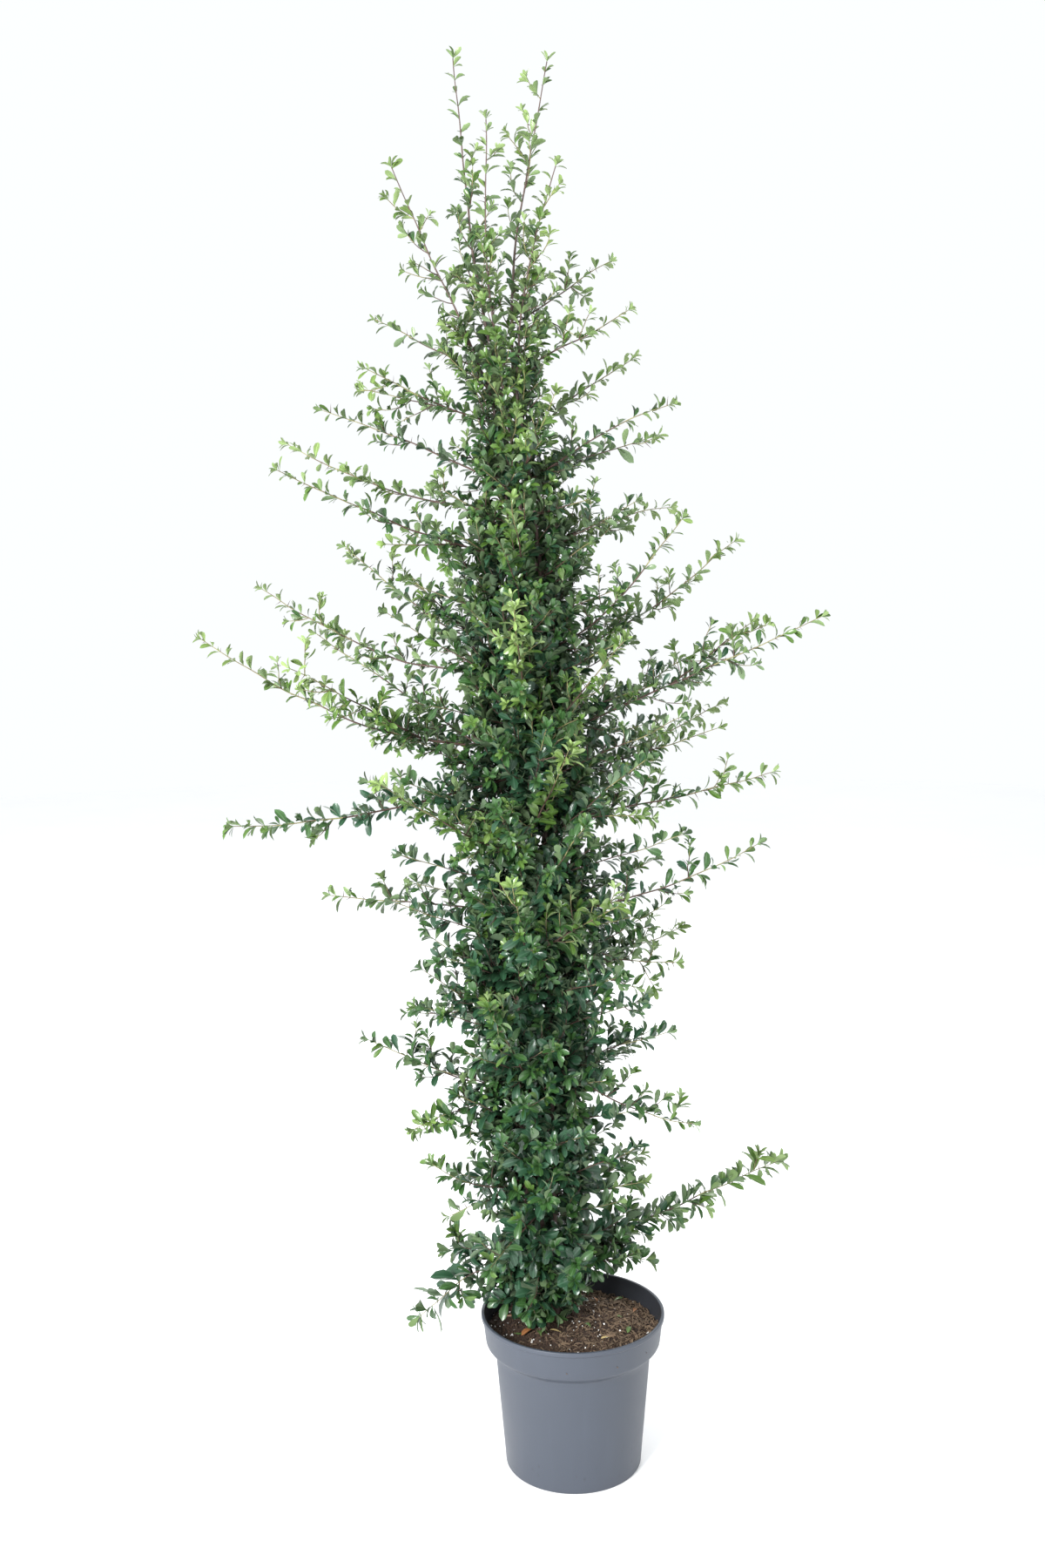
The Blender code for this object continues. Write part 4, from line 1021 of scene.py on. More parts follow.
def plastic_material(looks):
    """Matte moulded plastic with a faint grain, pale streaks, splashes low down and painted shade that dims
    its inside.
    """
    made, tree, shader, place = blank_material("pot_plastic")
    tone = add_mottle(tree, place, looks.colour, scaled(looks.colour, 1.16),
                      scale=7.0, fine_scale=900.0, amount=0.7)
    height = node(tree, "ShaderNodeSeparateXYZ", {"Vector": place}).outputs["Z"]
    low = ranged(tree, height, 0.0, SPLASH_HEIGHT, SPLASH_STRENGTH, 0.0)
    spots = add_speckle(tree, place, stretch=(1.0, 1.0, 0.6), scale=80.0, size=0.24)
    patches = ranged(tree, drift(tree, place, 16.0, detail=3.0), 0.47, 0.60)
    dirt = math_node(tree, "MULTIPLY", math_node(tree, "MULTIPLY", spots, patches), low)
    upright = node(tree, "ShaderNodeMapping", {"Vector": place, "Scale": (60.0, 60.0, 3.0)})
    streaks = ranged(tree, drift(tree, upright.outputs[0], 1.0), 0.55, 0.75)
    worn = math_node(tree, "MULTIPLY", streaks, STREAK_STRENGTH)
    pale = mixed(tree, worn, tone["Colour"], (*scaled(looks.colour, 1.5), 1.0))
    splashed = mixed(tree, dirt, pale, SPLASH_COLOUR)
    # Painted shade: on the inner wall, where the surface faces the axis, the colour goes near-black
    level = node(tree, "ShaderNodeVectorMath", {0: place, 1: (1.0, 1.0, 0.0)}, operation="MULTIPLY")
    facing = node(tree, "ShaderNodeNewGeometry").outputs["Normal"]
    outward = node(tree, "ShaderNodeVectorMath", {0: facing, 1: level.outputs[0]}, operation="DOT_PRODUCT")
    inside = ranged(tree, outward.outputs["Value"], -0.06, -0.01, POT_INSIDE_SHADE_STRENGTH, 0.0)
    tree.links.new(mixed(tree, inside, splashed, POT_INSIDE_SHADE_COLOUR), shader.inputs["Base Color"])
    rough = ranged(tree, tone["Mask"], 0.0, 1.0, looks.roughness - 0.05, looks.roughness + 0.07)
    tree.links.new(rough, shader.inputs["Roughness"])
    add_bump(tree, shader, tone["Height"], POT_GRAIN_DEPTH)
    return made


def loose_material(name, colour, second, scale, depth, roughness=0.92):
    """A dull mottled finish for what lies on the soil."""
    made, tree, shader, place = blank_material(name)
    tone = add_mottle(tree, place, colour, second, scale=scale, fine_scale=scale * 5.0, amount=1.0)
    tree.links.new(tone["Colour"], shader.inputs["Base Color"])
    shader.inputs["Roughness"].default_value = roughness
    add_bump(tree, shader, tone["Height"], depth)
    return made


def bark_material(name, colour, second, pore):
    """Smooth bark with a drift to a second colour and pale pores across it."""
    made, tree, shader, place = blank_material(name)
    tone = add_mottle(tree, place, colour, second, scale=34.0, fine_scale=420.0, amount=1.0)
    pores = add_speckle(tree, place, stretch=(1.0, 1.0, 2.2), scale=210.0, size=0.30)
    pale = math_node(tree, "MULTIPLY", pores, PORE_STRENGTH)
    tree.links.new(mixed(tree, pale, tone["Colour"], (*pore, 1.0)), shader.inputs["Base Color"])
    rough = ranged(tree, tone["Mask"], 0.0, 1.0, 0.50, 0.74)
    tree.links.new(rough, shader.inputs["Roughness"])
    height = math_node(tree, "MULTIPLY_ADD", pores, PORE_HEIGHT, tone["Height"])
    add_bump(tree, shader, height, PORE_DEPTH)
    return made


def leaf_material(name, colour, gloss):
    """A glossy leaf with a paler midrib and a dull, pale underside."""
    made, tree, shader, place = blank_material(name)
    tone = add_mottle(tree, place, colour, scaled(colour, 0.68), scale=24.0, fine_scale=260.0, amount=0.8)
    uv = node(tree, "ShaderNodeTexCoord").outputs["UV"]
    across = node(tree, "ShaderNodeSeparateXYZ", {"Vector": uv}).outputs["X"]
    from_rib = math_node(tree, "ABSOLUTE", math_node(tree, "SUBTRACT", across, 0.5))
    rib = ranged(tree, from_rib, 0.02, 0.09, RIB_STRENGTH, 0.0)
    upper = mixed(tree, rib, tone["Colour"], (*[min(c * 1.7 + 0.03, 1.0) for c in colour], 1.0))
    lower = (*[c * 0.75 + grey for c, grey in zip(colour, UNDERSIDE_GREY)], 1.0)
    behind = node(tree, "ShaderNodeNewGeometry").outputs["Backfacing"]
    tree.links.new(mixed(tree, behind, upper, lower), shader.inputs["Base Color"])
    rough = ranged(tree, tone["Mask"], 0.0, 1.0, gloss, gloss + 0.14)
    duller = math_node(tree, "MULTIPLY_ADD", behind, UNDERSIDE_DULLER, rough)
    tree.links.new(duller, shader.inputs["Roughness"])
    shader.inputs["Specular IOR Level"].default_value = 0.32
    shader.inputs["Coat Weight"].default_value = 0.36
    shader.inputs["Coat Roughness"].default_value = 0.15
    add_bump(tree, shader, tone["Height"], LEAF_GRAIN_DEPTH, strength=0.6)
    return made


def floor_material(looks):
    """Smooth pale floor with a barely seen drift."""
    made, tree, shader, place = blank_material("studio_floor")
    tone = add_mottle(tree, place, looks.floor, scaled(looks.floor, 0.97),
                      scale=0.8, fine_scale=6.0, amount=1.0)
    tree.links.new(tone["Colour"], shader.inputs["Base Color"])
    shader.inputs["Roughness"].default_value = 0.7
    return made


def holder(name, data):
    """An object in the scene for a mesh, a lamp or a lens."""
    made = bpy.data.objects.new(name, data)
    bpy.context.scene.collection.objects.link(made)
    return made


def piece(name, mesh, slot, *nodes):
    """A finished piece that stands in the frame and stands for construction nodes."""
    mesh.name = name
    made = holder(name, mesh)
    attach(made, BODY)
    if nodes:
        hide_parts(*nodes)


def evaluated_mesh(source):
    """The plain mesh of an object with its modifiers, after which the object is removed."""
    graph = bpy.context.evaluated_depsgraph_get()
    mesh = bpy.data.meshes.new_from_object(source.evaluated_get(graph), depsgraph=graph)
    bpy.data.objects.remove(source)
    return mesh


def lofted(name, rings, finish):
    """A closed smooth skin over rings of points, with a face over each end."""
    sides = len(rings[0])
    faces = [tuple(reversed(range(sides)))]
    for low in range(0, (len(rings) - 1) * sides, sides):
        for i in range(sides):
            j = (i + 1) % sides
            faces.append((low + i, low + j, low + sides + j, low + sides + i))
    faces.append(tuple(range((len(rings) - 1) * sides, len(rings) * sides)))
    mesh = bpy.data.meshes.new(name)
    mesh.from_pydata([point for ring in rings for point in ring], [], faces)
    mesh.shade_smooth()
    mesh.materials.append(finish)
    return mesh


def swept(name, points, sides, radius_at, finish):
    """A closed limb along points, with a radius for each point and angle."""
    side = Vector((1.0, 0.0, 0.0))
    rings = []
    for i, point in enumerate(points):
        along = (points[min(i + 1, len(points) - 1)] - points[max(i - 1, 0)]).normalized()
        side = (side - along * side.dot(along)).normalized()
        other = along.cross(side)
        ring = []
        for j in range(sides):
            angle = math.tau * j / sides
            out = side * math.cos(angle) + other * math.sin(angle)
            ring.append(point + out * radius_at(i, point, angle))
        rings.append(ring)
    return lofted(name, rings, finish)


def cracks(angle, z, stretch, fractal):
    """Fine relief round a limb, as cracks drawn out along it."""
    place = Vector((math.cos(angle) * stretch[0], math.sin(angle) * stretch[0], z * stretch[1]))
    return BARK_RELIEF * noise.fractal(place, *fractal)


def trunk_mesh(finish):
    """The trunk: a lobed flare in the soil, a short stem and a dome between the boughs."""
    low = SOIL_TOP - TRUNK_SUNK
    high = TRUNK_TOP + TRUNK_DOME
    count = round((high - low) / TRUNK_STEP)
    points = [crown_axis(low + (high - low) * i / count) for i in range(count + 1)]

    def radius_at(i, point, angle):
        h = max(point.z - SOIL_TOP, -TRUNK_SUNK)
        flare = TRUNK_FLARE * math.exp(-h / TRUNK_FLARE_FADE)
        lobes = TRUNK_LOBE_SWELL * math.sin(TRUNK_LOBES * angle) * (1.0 + flare / TRUNK_FLARE) * 0.5
        dome = max(0.0, (point.z - TRUNK_TOP + TRUNK_DOME_START) / TRUNK_DOME_SPAN)
        relief = cracks(angle, point.z, TRUNK_CRACKS, TRUNK_FRACTAL)
        radius = (TRUNK_RADIUS + flare) * (1.0 + lobes + relief)
        return radius * math.sqrt(max(1.0 - dome * dome, 0.0))

    return swept("trunk", points, TRUNK_SIDES, radius_at, finish)


def bough_mesh(bough, finish):
    """A bough and its leader, swollen at each joint, with fine relief."""
    def radius_at(i, point, angle):
        to_joint = (i * BOUGH_STEP) % JOINT_SPACING - JOINT_SPACING / 2
        joint = JOINT_SWELL * math.exp(-(to_joint / JOINT_LENGTH) ** 2)
        relief = cracks(angle, point.z, BOUGH_CRACKS, BOUGH_FRACTAL)
        return bough_radius(bough, point.z) * (1.0 + joint + relief)

    return swept(bough.name, bough_line(bough), BOUGH_SIDES, radius_at, finish)


def softened(corners):
    """A line of points with its corners rounded, from places with a rounding radius."""
    made = []
    for i, (x, z, radius) in enumerate(corners):
        here = Vector((x, 0.0, z))
        if radius == 0.0:
            made.append(here)
            continue
        before = Vector((corners[i - 1][0], 0.0, corners[i - 1][1])) - here
        after = Vector((corners[i + 1][0], 0.0, corners[i + 1][1])) - here
        near = here + before.normalized() * min(radius, before.length * ROUNDING_LIMIT)
        far = here + after.normalized() * min(radius, after.length * ROUNDING_LIMIT)
        for k in range(CORNER_STEPS + 1):
            t = k / CORNER_STEPS
            made.append(near.lerp(here, t).lerp(here.lerp(far, t), t))
    return made


def pot_corners(rounding):
    """The pot's section from the inner floor over the rim to the underside, with roundings."""
    lip = POT_HEIGHT - LIP_DEPTH
    band_low = POT_HEIGHT - BAND_DEPTH
    shoulder = band_low - SHOULDER_DROP
    band_top = RIM_RADIUS - LIP_OVERHANG
    band_bottom = band_top - BAND_TAPER
    groove = [FOOT_RADIUS * share for share in FOOT_GROOVE]
    return [
        (0.0, POT_FLOOR, 0.0),
        (FOOT_RADIUS - POT_WALL, POT_FLOOR, INNER_ROUNDING),
        (SHOULDER_RADIUS - POT_WALL, shoulder, INNER_ROUNDING),
        (band_bottom - WALL_AT_BAND, band_low + BAND_INNER_UP, INNER_ROUNDING),
        (band_top - POT_WALL, lip, rounding),
        (RIM_RADIUS - WALL_AT_LIP, POT_HEIGHT, rounding),
        (RIM_RADIUS, POT_HEIGHT, rounding),
        (RIM_RADIUS, lip + LIP_ROOT_UP, rounding * LIP_ROOT_SOFTER),
        (band_top + LIP_ROOT_OUT, lip, rounding * LIP_ROOT_SOFTER),
        (band_bottom, band_low + BAND_EDGE_UP, BAND_EDGE_ROUNDING),
        (SHOULDER_RADIUS + SHOULDER_TOP_OUT, shoulder + SHOULDER_TOP_UP, INNER_ROUNDING),
        (SHOULDER_RADIUS - SHOULDER_LOW_IN, shoulder - SHOULDER_LOW_DOWN, INNER_ROUNDING),
        (FOOT_RADIUS, 0.0, FOOT_ROUNDING),
        (groove[0], 0.0, 0.0),
        (groove[1], FOOT_GROOVE_DEPTH, 0.0),
        (groove[2], FOOT_GROOVE_DEPTH, 0.0),
        (groove[3], 0.0, 0.0),
        (0.0, 0.0, 0.0),
    ]


def pot_mesh(looks, finish):
    """The pot, turned from its section."""
    line = softened(pot_corners(looks.rounding))
    mesh = bpy.data.meshes.new("pot")
    mesh.from_pydata(line, [(i, i + 1) for i in range(len(line) - 1)], [])
    source = holder("pot_section", mesh)
    screw = source.modifiers.new("Turn", "SCREW")
    screw.steps = screw.render_steps = POT_SIDES
    screw.use_merge_vertices = True
    screw.merge_threshold = MERGE_DISTANCE
    made = evaluated_mesh(source)
    made.shade_smooth()
    made.set_sharp_from_angle(angle=POT_SHARP_ANGLE)
    made.materials.append(finish)
    return made


def soil_height(x, y):
    """The lumpy surface of the soil at a place."""
    edge = math.hypot(x, y) / SOIL_RADIUS
    place = Vector((x, y, 0.0))
    lumps = noise.fractal(place * SOIL_LUMPS_PER_M, *SOIL_FRACTAL) * SOIL_LUMP
    grains = noise.noise(place * SOIL_GRAINS_PER_M) * SOIL_GRAIN
    drop = SOIL_EDGE_DROP * smooth_step(SOIL_EDGE_SLOPE * edge - SOIL_EDGE_START)
    return SOIL_TOP - drop + lumps + grains


def soil_mesh(finish):
    """The plug of soil: a lumpy top over a plain side and foot."""
    lip = SOIL_RADIUS + SOIL_AGAINST_POT
    rings = []
    for i in range(SOIL_RINGS + 1):
        radius = lip * (1 + i) / (SOIL_RINGS + 1)
        ring = []
        for j in range(SOIL_SIDES):
            x = radius * math.cos(math.tau * j / SOIL_SIDES)
            y = radius * math.sin(math.tau * j / SOIL_SIDES)
            ring.append(Vector((x, y, soil_height(x, y))))
        rings.append(ring)
    band_low = POT_HEIGHT - BAND_DEPTH
    side = [(SOIL_RADIUS - WALL_AT_BAND, band_low + SOIL_UNDER_BAND),
            (SHOULDER_RADIUS - WALL_AT_BAND, band_low - SHOULDER_DROP - SOIL_UNDER_SHOULDER),
            (FOOT_RADIUS - WALL_AT_BAND, SOIL_FOOT)]
    for radius, z in side:
        rings.append([Vector((p.x * radius / lip, p.y * radius / lip, z)) for p in rings[SOIL_RINGS]])
    return lofted("soil", list(reversed(rings)), finish)


def form_collection(name, meshes):
    """A collection of the shapes that points pick from."""
    made = bpy.data.collections.new(name)
    for i, mesh in enumerate(meshes):
        made.objects.link(bpy.data.objects.new(f"{name}_{i}", mesh))
    return made


def remove_forms(collection):
    """Remove a collection of shapes once nothing needs it."""
    for shape in list(collection.objects):
        bpy.data.objects.remove(shape)
    bpy.data.collections.remove(collection)


def shape_mesh(name, shape):
    """The mesh of an edited shape, which is then freed."""
    mesh = bpy.data.meshes.new(name)
    shape.to_mesh(mesh)
    shape.free()
    return mesh


def lump_mesh(name, seed, stretch):
    """A small rough lump, one metre long."""
    shape = bmesh.new()
    bmesh.ops.create_icosphere(shape, subdivisions=1, radius=0.5)
    for vert in shape.verts:
        rough = noise.noise(vert.co * LUMPS_ACROSS + Vector((seed, 0.0, 0.0)))
        vert.co *= 1.0 + LUMP_ROUGHNESS * rough
        vert.co = Vector(c * s for c, s in zip(vert.co, stretch))
    return shape_mesh(name, shape)


def sliver_mesh(name, seed, width, bend):
    """A curved sliver of bark, one metre long."""
    shape = bmesh.new()
    bmesh.ops.create_cube(shape, size=1.0)
    lengthwise = [e for e in shape.edges if abs((e.verts[0].co - e.verts[1].co).y) > 0.5]
    bmesh.ops.subdivide_edges(shape, edges=lengthwise, cuts=2)
    for vert in shape.verts:
        rough = noise.noise(vert.co * SLIVER_LUMPS_ACROSS + Vector((seed, 0.0, 0.0)))
        taper = 1.0 - SLIVER_TAPER * abs(vert.co.y) + SLIVER_ROUGHNESS * rough
        thick = vert.co.z * width * SLIVER_THICKNESS * taper
        vert.co = Vector((vert.co.x * width * taper, vert.co.y, thick))
        vert.co.z += bend * (0.25 - vert.co.y ** 2)
    return shape_mesh(name, shape)


def leaf_mesh(name, form):
    """A leaf one metre long along +Y, folded along its rib, with its upper side to +Z."""
    points = []
    for along, width in LEAF_ROWS:
        for side in (-1.0, 0.0, 1.0):
            x = side * width * form.width / 2
            rise = abs(x) * form.fold - form.curl * along ** 2 + form.cup * math.sin(math.pi * along)
            rise += x * form.twist * along
            points.append((x, along, rise))
    points.append((0.0, 1.0, -form.curl))
    faces = []
    for row in range(len(LEAF_ROWS) - 1):
        for column in range(2):
            a = 3 * row + column
            faces.append((a, a + 1, a + 4, a + 3))
    last = len(points) - 1
    faces += [(last - 3, last - 2, last), (last - 2, last - 1, last)]
    mesh = bpy.data.meshes.new(name)
    mesh.from_pydata(points, [], faces)
    mesh.shade_smooth()
    across = {vert: point[0] / form.width + 0.5 for vert, point in enumerate(points)}
    layer = mesh.uv_layers.new(name="UVMap")
    for loop in mesh.loops:
        layer.data[loop.index].uv = (across[loop.vertex_index], points[loop.vertex_index][1])
    return mesh


def thorn_mesh(name, bend):
    """A thorn one metre long along +Y."""
    shape = bmesh.new()
    bmesh.ops.create_cone(shape, cap_ends=True, segments=5, radius1=0.055, radius2=0.004, depth=1.0)
    shape.transform(Matrix.Rotation(math.radians(-90), 4, "X") @ Matrix.Translation((0.0, 0.0, 0.5)))
    lengthwise = [e for e in shape.edges if e.calc_length() > 0.5]
    bmesh.ops.subdivide_edges(shape, edges=lengthwise, cuts=1)
    for vert in shape.verts:
        vert.co.z += bend * vert.co.y ** 2
    mesh = shape_mesh(name, shape)
    mesh.shade_smooth()
    return mesh


def run_tree(source, tree, values):
    """The plain mesh that a tree of geometry nodes makes from a source object."""
    modifier = source.modifiers.new(tree.name, "NODES")
    modifier.node_group = tree
    for item in tree.interface.items_tree:
        if item.in_out == "INPUT" and item.name in values:
            modifier[item.identifier] = values[item.name]
    return evaluated_mesh(source)


def new_tree(name, inputs):
    """A tree of geometry nodes with its named inputs and a finish, and its two ends."""
    inputs = [("Geometry", "Geometry"), *inputs, ("Finish", "Material")]
    return new_group(name, "GeometryNodeTree", inputs, [("Geometry", "Geometry")])


def close_tree(tree, geometry, start, end):
    """End a tree of geometry nodes with whole shapes in their finish."""
    whole = node(tree, "GeometryNodeRealizeInstances", {"Geometry": geometry})
    done = node(tree, "GeometryNodeSetMaterial",
                {"Geometry": whole.outputs[0], "Material": start["Finish"]})
    tree.links.new(done.outputs[0], end["Geometry"])
    return tree


def carried(tree, kind, name):
    """What the points carry under a name."""
    return node(tree, "GeometryNodeInputNamedAttribute", {"Name": name}, data_type=kind).outputs[0]


def shapes_on(tree, points, forms, form, turn, scale):
    """Shapes of a collection on points, each picked by its number."""
    shapes = node(tree, "GeometryNodeCollectionInfo",
                  {"Collection": forms, "Separate Children": True, "Reset Children": True})
    return node(tree, "GeometryNodeInstanceOnPoints",
                {"Points": points, "Instance": shapes.outputs[0], "Pick Instance": True,
                 "Instance Index": form, "Rotation": turn, "Scale": scale}).outputs[0]


@lru_cache(maxsize=None)
def tube_tree():
    """Geometry nodes: round stems along edges, as thick as their points say."""
    tree, start, end = new_tree("stem_tubes", [("Sides", "Int"), ("Thickness", "Float")])
    lines = node(tree, "GeometryNodeMeshToCurve", {"Mesh": start["Geometry"]})
    width = math_node(tree, "MULTIPLY", carried(tree, "FLOAT", "thickness"), start["Thickness"])
    section = node(tree, "GeometryNodeCurvePrimitiveCircle", {"Resolution": start["Sides"], "Radius": 1.0})
    tubes = node(tree, "GeometryNodeCurveToMesh",
                 {"Curve": lines.outputs[0], "Profile Curve": section.outputs[0], "Scale": width,
                  "Fill Caps": True})
    smooth = node(tree, "GeometryNodeSetShadeSmooth", {"Geometry": tubes.outputs[0]})
    return close_tree(tree, smooth.outputs[0], start, end)


@lru_cache(maxsize=None)
def copies_tree():
    """Geometry nodes: shapes on points, turned, sized and picked as the points say."""
    inputs = [("Forms", "Collection"), ("Size", "Float"), ("Size Spread", "Float"), ("Seed", "Int")]
    tree, start, end = new_tree("placed_copies", inputs)
    least = math_node(tree, "SUBTRACT", 1.0, start["Size Spread"])
    most = math_node(tree, "ADD", 1.0, start["Size Spread"])
    spread = node(tree, "FunctionNodeRandomValue", {2: least, 3: most, 8: start["Seed"]}, data_type="FLOAT")
    size = math_node(tree, "MULTIPLY", carried(tree, "FLOAT", "size"), start["Size"])
    scale = math_node(tree, "MULTIPLY", size, spread.outputs[1])
    copies = shapes_on(tree, start["Geometry"], start["Forms"], carried(tree, "INT", "form"),
                       carried(tree, "QUATERNION", "turn"), scale)
    return close_tree(tree, copies, start, end)


@lru_cache(maxsize=None)
def strewn_tree():
    """Geometry nodes: shapes strewn at random over upward faces, denser to one side."""
    inputs = [("Forms", "Collection"), ("Density", "Float"), ("To The Right", "Float"),
              ("Least Size", "Float"), ("Most Size", "Float"), ("Tilt", "Float"), ("Lift", "Float"),
              ("Seed", "Int")]
    tree, start, end = new_tree("strewn_shapes", inputs)
    place = node(tree, "ShaderNodeSeparateXYZ", {0: node(tree, "GeometryNodeInputPosition").outputs[0]})
    facing = node(tree, "ShaderNodeSeparateXYZ", {0: node(tree, "GeometryNodeInputNormal").outputs[0]})
    upward = math_node(tree, "GREATER_THAN", facing.outputs["Z"], LEAST_UPWARD)
    aside = math_node(tree, "MULTIPLY", place.outputs["X"], 1.0 / SOIL_RADIUS)
    share = math_node(tree, "MULTIPLY_ADD", aside, start["To The Right"], 1.0)
    density = math_node(tree, "MULTIPLY", start["Density"], math_node(tree, "MAXIMUM", share, 0.0))
    points = node(tree, "GeometryNodeDistributePointsOnFaces",
                  {"Mesh": start["Geometry"], "Selection": upward, "Density": density,
                   "Seed": start["Seed"]})
    rise = node(tree, "ShaderNodeCombineXYZ", {2: start["Lift"]})
    raised = node(tree, "GeometryNodeSetPosition",
                  {"Geometry": points.outputs[0], "Offset": rise.outputs[0]})
    lean = node(tree, "ShaderNodeCombineXYZ", {0: start["Tilt"], 1: start["Tilt"], 2: math.tau})
    back = node(tree, "ShaderNodeVectorMath", {0: lean.outputs[0], "Scale": -1.0}, operation="SCALE")
    turn = node(tree, "FunctionNodeRandomValue",
                {0: back.outputs[0], 1: lean.outputs[0], 8: start["Seed"]}, data_type="FLOAT_VECTOR")
    size = node(tree, "FunctionNodeRandomValue",
                {2: start["Least Size"], 3: start["Most Size"], 8: start["Seed"]}, data_type="FLOAT")
    form = node(tree, "FunctionNodeRandomValue", {4: 0, 5: PICK_UP_TO, 8: start["Seed"]}, data_type="INT")
    rotation = node(tree, "FunctionNodeEulerToRotation", {0: turn.outputs[0]})
    copies = shapes_on(tree, raised.outputs[0], start["Forms"], form.outputs[2],
                       rotation.outputs[0], size.outputs[1])
    return close_tree(tree, copies, start, end)


def tubes_mesh(lines, sides, finish):
    """One mesh of round stems, from lines of points with their radii."""
    points = []
    edges = []
    radii = []
    for line, thickness in lines:
        edges += [(len(points) + i, len(points) + i + 1) for i in range(len(line) - 1)]
        points += line
        radii += thickness
    mesh = bpy.data.meshes.new("lines")
    mesh.from_pydata(points, edges, [])
    mesh.attributes.new("thickness", "FLOAT", "POINT").data.foreach_set("value", radii)
    source = holder("lines", mesh)
    return run_tree(source, tube_tree(), {"Sides": sides, "Thickness": 1.0, "Finish": finish})


def copies_mesh(copies, forms, seed, finish):
    """One mesh of placed shapes, from their roots, turns, sizes and forms."""
    mesh = bpy.data.meshes.new("copies")
    mesh.from_pydata([root for root, _, _, _ in copies], [], [])
    turns = [value for _, turn, _, _ in copies for value in turn]
    mesh.attributes.new("turn", "QUATERNION", "POINT").data.foreach_set("value", turns)
    mesh.attributes.new("size", "FLOAT", "POINT").data.foreach_set("value", [c[2] for c in copies])
    mesh.attributes.new("form", "INT", "POINT").data.foreach_set("value", [c[3] for c in copies])
    source = holder("copies", mesh)
    values = {"Forms": forms, "Size": 1.0, "Size Spread": COPY_SIZE_SPREAD, "Seed": seed, "Finish": finish}
    return run_tree(source, copies_tree(), values)


def fallen_leaves(tone):
    """The places of one tone's leaves that lie on the soil."""
    placed = []
    for i, leaf in enumerate(FALLEN):
        if leaf.tone == tone:
            root = Vector((leaf.x, leaf.y, soil_height(leaf.x, leaf.y) + FALLEN_LIFT))
            tilt = Quaternion((1, 0, 0), FALLEN_TILT * math.sin(i))
            turn = Quaternion(UP, math.radians(leaf.heading)) @ tilt
            placed.append((root, turn, leaf.length, i % len(LEAF_FORMS)))
    return placed


class FIRETHORN_OT_pot(bpy.types.Operator):
    """Make the pot"""

    bl_idname = "firethorn.pot"
    bl_label = "Pot"

    def execute(self, context):
        looks = context.scene.firethorn_pot
        piece("nursery_pot", pot_mesh(looks, plastic_material(looks)), "pot_plastic", "pot")
        return {"FINISHED"}


class FIRETHORN_OT_soil(bpy.types.Operator):
    """Make the soil in the pot and what lies strewn on it"""

    bl_idname = "firethorn.soil"
    bl_label = "Soil"

    def execute(self, context):
        looks = context.scene.firethorn_soil
        earth = loose_material("earth", looks.earth, scaled(looks.earth, 2.0), scale=90.0, depth=0.0016)
        top = soil_mesh(earth)
        piece("soil_bed", top, "potting_soil", "soil")
        lumps = [lump_mesh("crumb", i, CRUMB_STRETCH) for i in range(CRUMB_FORMS)]
        slivers = [sliver_mesh("sliver", i, *form) for i, form in enumerate(SLIVER_FORMS)]
        grain = loose_material("white_grain", looks.grain, scaled(looks.grain, 0.8),
                               scale=300.0, depth=0.0003, roughness=0.8)
        crumb = loose_material("crumb", scaled(looks.earth, 1.2), scaled(looks.earth, 2.8),
                               scale=60.0, depth=0.0006)
        chip = loose_material("bark_chip", looks.fibre, scaled(looks.fibre, 0.42),
                              scale=46.0, depth=0.0004, roughness=0.8)
        for strewn, shapes, density, finish in ((CRUMBS, lumps, looks.crumbs, crumb),
                                                (SLIVERS, slivers, looks.chips, chip),
                                                (GRAINS, lumps, looks.grains, grain)):
            forms = form_collection(strewn.name, [mesh.copy() for mesh in shapes])
            values = {"Forms": forms, "Density": density, "To The Right": strewn.to_the_right,
                      "Least Size": strewn.least, "Most Size": strewn.most, "Tilt": strewn.tilt,
                      "Lift": strewn.lift, "Seed": looks.seed, "Finish": finish}
            mesh = run_tree(holder(strewn.name, top.copy()), strewn_tree(), values)
            piece(strewn.name, mesh, "potting_soil")
            remove_forms(forms)
        for tone, colour in FALLEN_TONES.items():
            finish = leaf_material("fallen_" + tone, colour, gloss=0.5)
            forms = form_collection("fallen_" + tone, [leaf_mesh("leaf", form) for form in LEAF_FORMS])
            mesh = copies_mesh(fallen_leaves(tone), forms, looks.seed, finish)
            piece("fallen_leaves_" + tone, mesh, "foliage")
            remove_forms(forms)
        return {"FINISHED"}


class FIRETHORN_OT_limbs(bpy.types.Operator):
    """Make the trunk and the boughs with the relief of their bark"""

    bl_idname = "firethorn.limbs"
    bl_label = "Trunk and Boughs"

    def execute(self, context):
        looks = context.scene.firethorn_plant
        grey = tuple(GREY_BARK_SHARE * c + GREY_BARK_LIFT for c in looks.bark)
        finish = bark_material("bark", looks.bark, grey, scaled(looks.bark, 2.6))
        # The trunk's bark at half its colour is painted shade under the foliage
        shade_darkened_bark = bark_material("old_bark", scaled(looks.bark, 0.5), scaled(grey, 0.5), looks.bark)
        piece("trunk_bark", trunk_mesh(shade_darkened_bark), "bark", "trunk")
        for bough in BOUGHS:
            piece(bough.name + "_bark", bough_mesh(bough, finish), "bark", bough.name)
        return {"FINISHED"}


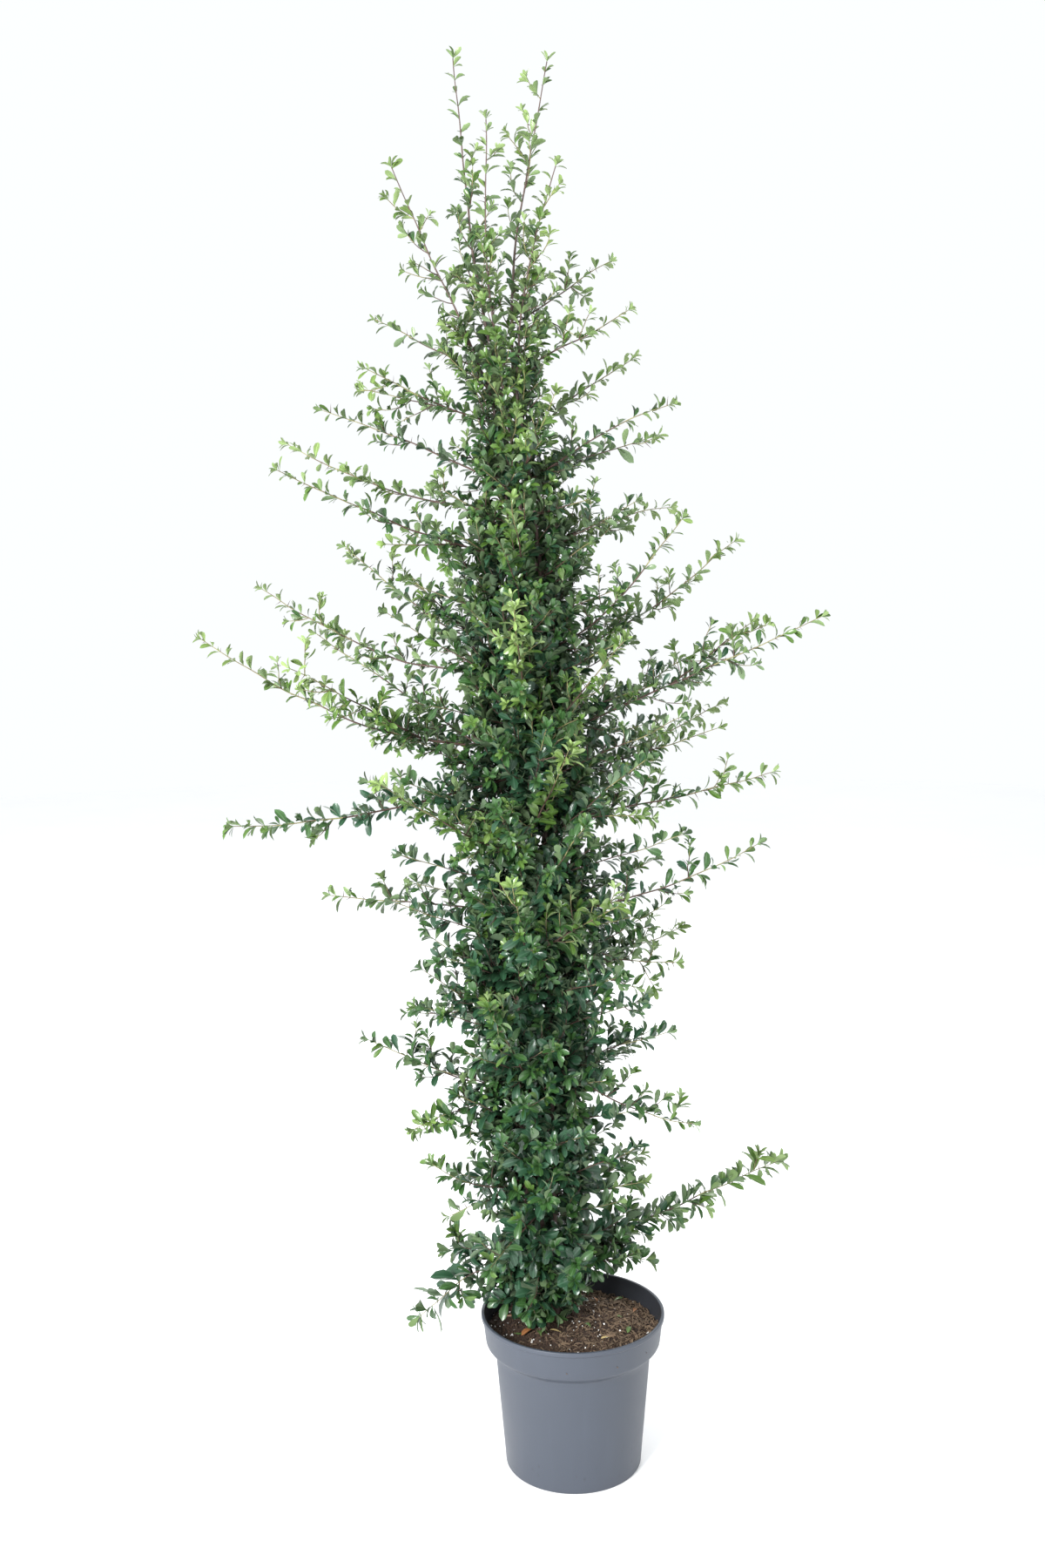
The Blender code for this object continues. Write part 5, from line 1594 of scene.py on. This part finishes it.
class FIRETHORN_OT_twigs(bpy.types.Operator):
    """Make the stems of the shoots, forks and side twigs, and their thorns"""

    bl_idname = "firethorn.twigs"
    bl_label = "Twigs and Thorns"

    def execute(self, context):
        looks = context.scene.firethorn_plant
        plant = plant_of(context)
        brown = bark_material("twig_bark", looks.bark, scaled(looks.bark, 0.55), scaled(looks.bark, 2.2))
        green = bark_material("green_bark", looks.green_stem, looks.bark, scaled(looks.green_stem, 1.5))
        piece("woody_twigs", tubes_mesh(plant.woody, STEM_SIDES, brown), "bark", *MASSES)
        piece("green_twigs", tubes_mesh(plant.green, STEM_SIDES, green), "young_foliage", *MASSES)
        forms = form_collection("thorn", [thorn_mesh("thorn", bend) for bend in THORN_BENDS])
        placed = []
        for i, (root, direction, length) in enumerate(plant.thorns):
            placed.append((root, direction.to_track_quat("Y", "Z"), length, i % len(forms.objects)))
        piece("thorns", copies_mesh(placed, forms, looks.seed, brown), "bark")
        remove_forms(forms)
        return {"FINISHED"}


class FIRETHORN_OT_leaves(bpy.types.Operator):
    """Make the leaves, each tint as a piece for each zone of height"""

    bl_idname = "firethorn.leaves"
    bl_label = "Leaves"

    def execute(self, context):
        looks = context.scene.firethorn_plant
        plant = plant_of(context)
        for tint, gloss in zip(TINTS, LEAF_GLOSS):
            finish = leaf_material("leaf_" + tint, getattr(looks, tint), gloss)
            forms = form_collection("leaf_" + tint, [leaf_mesh("leaf", form) for form in LEAF_FORMS])
            slot = "young_foliage" if tint in YOUNG_TINTS else "foliage"
            for zone in ZONES:
                placed = plant.leaves[tint, zone]
                if placed:
                    mesh = copies_mesh(placed, forms, looks.seed, finish)
                    piece(f"leaves_{tint}_{zone}", mesh, slot, *MASSES)
            remove_forms(forms)
        return {"FINISHED"}


class FIRETHORN_OT_stage(bpy.types.Operator):
    """Make the floor, the lights and the camera"""

    bl_idname = "firethorn.stage"
    bl_label = "Stage"

    def execute(self, context):
        looks = context.scene.firethorn_stage
        shape = bmesh.new()
        bmesh.ops.create_circle(shape, cap_ends=True, segments=FLOOR_SIDES, radius=FLOOR_RADIUS)
        mesh = shape_mesh("studio_floor", shape)
        mesh.materials.append(floor_material(looks))
        holder("studio_floor", mesh)
        world = bpy.data.worlds.new("studio")
        world.use_nodes = True
        sky = world.node_tree.nodes["Background"]
        sky.inputs["Color"].default_value = SKY_COLOUR
        sky.inputs["Strength"].default_value = looks.sky
        context.scene.world = world
        context.scene.view_settings.view_transform = "Standard"
        for name, place, power in (("key", KEY_AT, looks.key), ("fill", FILL_AT, looks.fill),
                                   ("back", BACK_AT, looks.back)):
            lamp = bpy.data.lights.new(name, "AREA")
            lamp.size = LIGHT_SIZE
            lamp.energy = power
            aim = (Vector(LIGHT_TARGET) - Vector(place)).to_track_quat("-Z", "Y")
            holder(name, lamp).matrix_world = Matrix.Translation(place) @ aim.to_matrix().to_4x4()
        lens = bpy.data.cameras.new("camera")
        lens.lens = CAMERA_LENS
        lens.sensor_width = CAMERA_SENSOR
        camera = holder("camera", lens)
        level = Matrix.Rotation(math.radians(90) - CAMERA_PITCH, 4, "X")
        roll = Matrix.Rotation(CAMERA_ROLL, 4, "Z")
        camera.matrix_world = Matrix.Translation(CAMERA_AT) @ level @ roll
        context.scene.camera = camera
        return {"FINISHED"}


class FIRETHORN_PT_panel(bpy.types.Panel):
    """Steps that build the shrub, with their sizes and colours."""

    bl_label = "Firethorn"
    bl_idname = "FIRETHORN_PT_panel"
    bl_space_type = "VIEW_3D"
    bl_region_type = "UI"
    bl_category = "Firethorn"

    def draw(self, context):
        for group in GROUPS:
            box = self.layout.box()
            settings = getattr(context.scene, group)
            for name in settings.__annotations__:
                box.prop(settings, name)
        for step in STEPS:
            self.layout.operator(step.bl_idname)


GROUPS = {
    "firethorn_pot": FIRETHORN_PG_pot,
    "firethorn_soil": FIRETHORN_PG_soil,
    "firethorn_plant": FIRETHORN_PG_plant,
    "firethorn_stage": FIRETHORN_PG_stage,
}
STEPS = (FIRETHORN_OT_pot, FIRETHORN_OT_soil, FIRETHORN_OT_limbs, FIRETHORN_OT_twigs,
         FIRETHORN_OT_leaves, FIRETHORN_OT_stage)
CLASSES = (*GROUPS.values(), *STEPS, FIRETHORN_PT_panel)


def register():
    for cls in CLASSES:
        bpy.utils.register_class(cls)
    for name, group in GROUPS.items():
        setattr(bpy.types.Scene, name, PointerProperty(type=group))


def unregister():
    for name in GROUPS:
        delattr(bpy.types.Scene, name)
    for cls in reversed(CLASSES):
        bpy.utils.unregister_class(cls)


def main():
    register()
    bpy.ops.firethorn.pot()
    bpy.ops.firethorn.soil()
    bpy.ops.firethorn.limbs()
    bpy.ops.firethorn.twigs()
    bpy.ops.firethorn.leaves()
    bpy.ops.firethorn.stage()


if __name__ == "__main__":
    main()
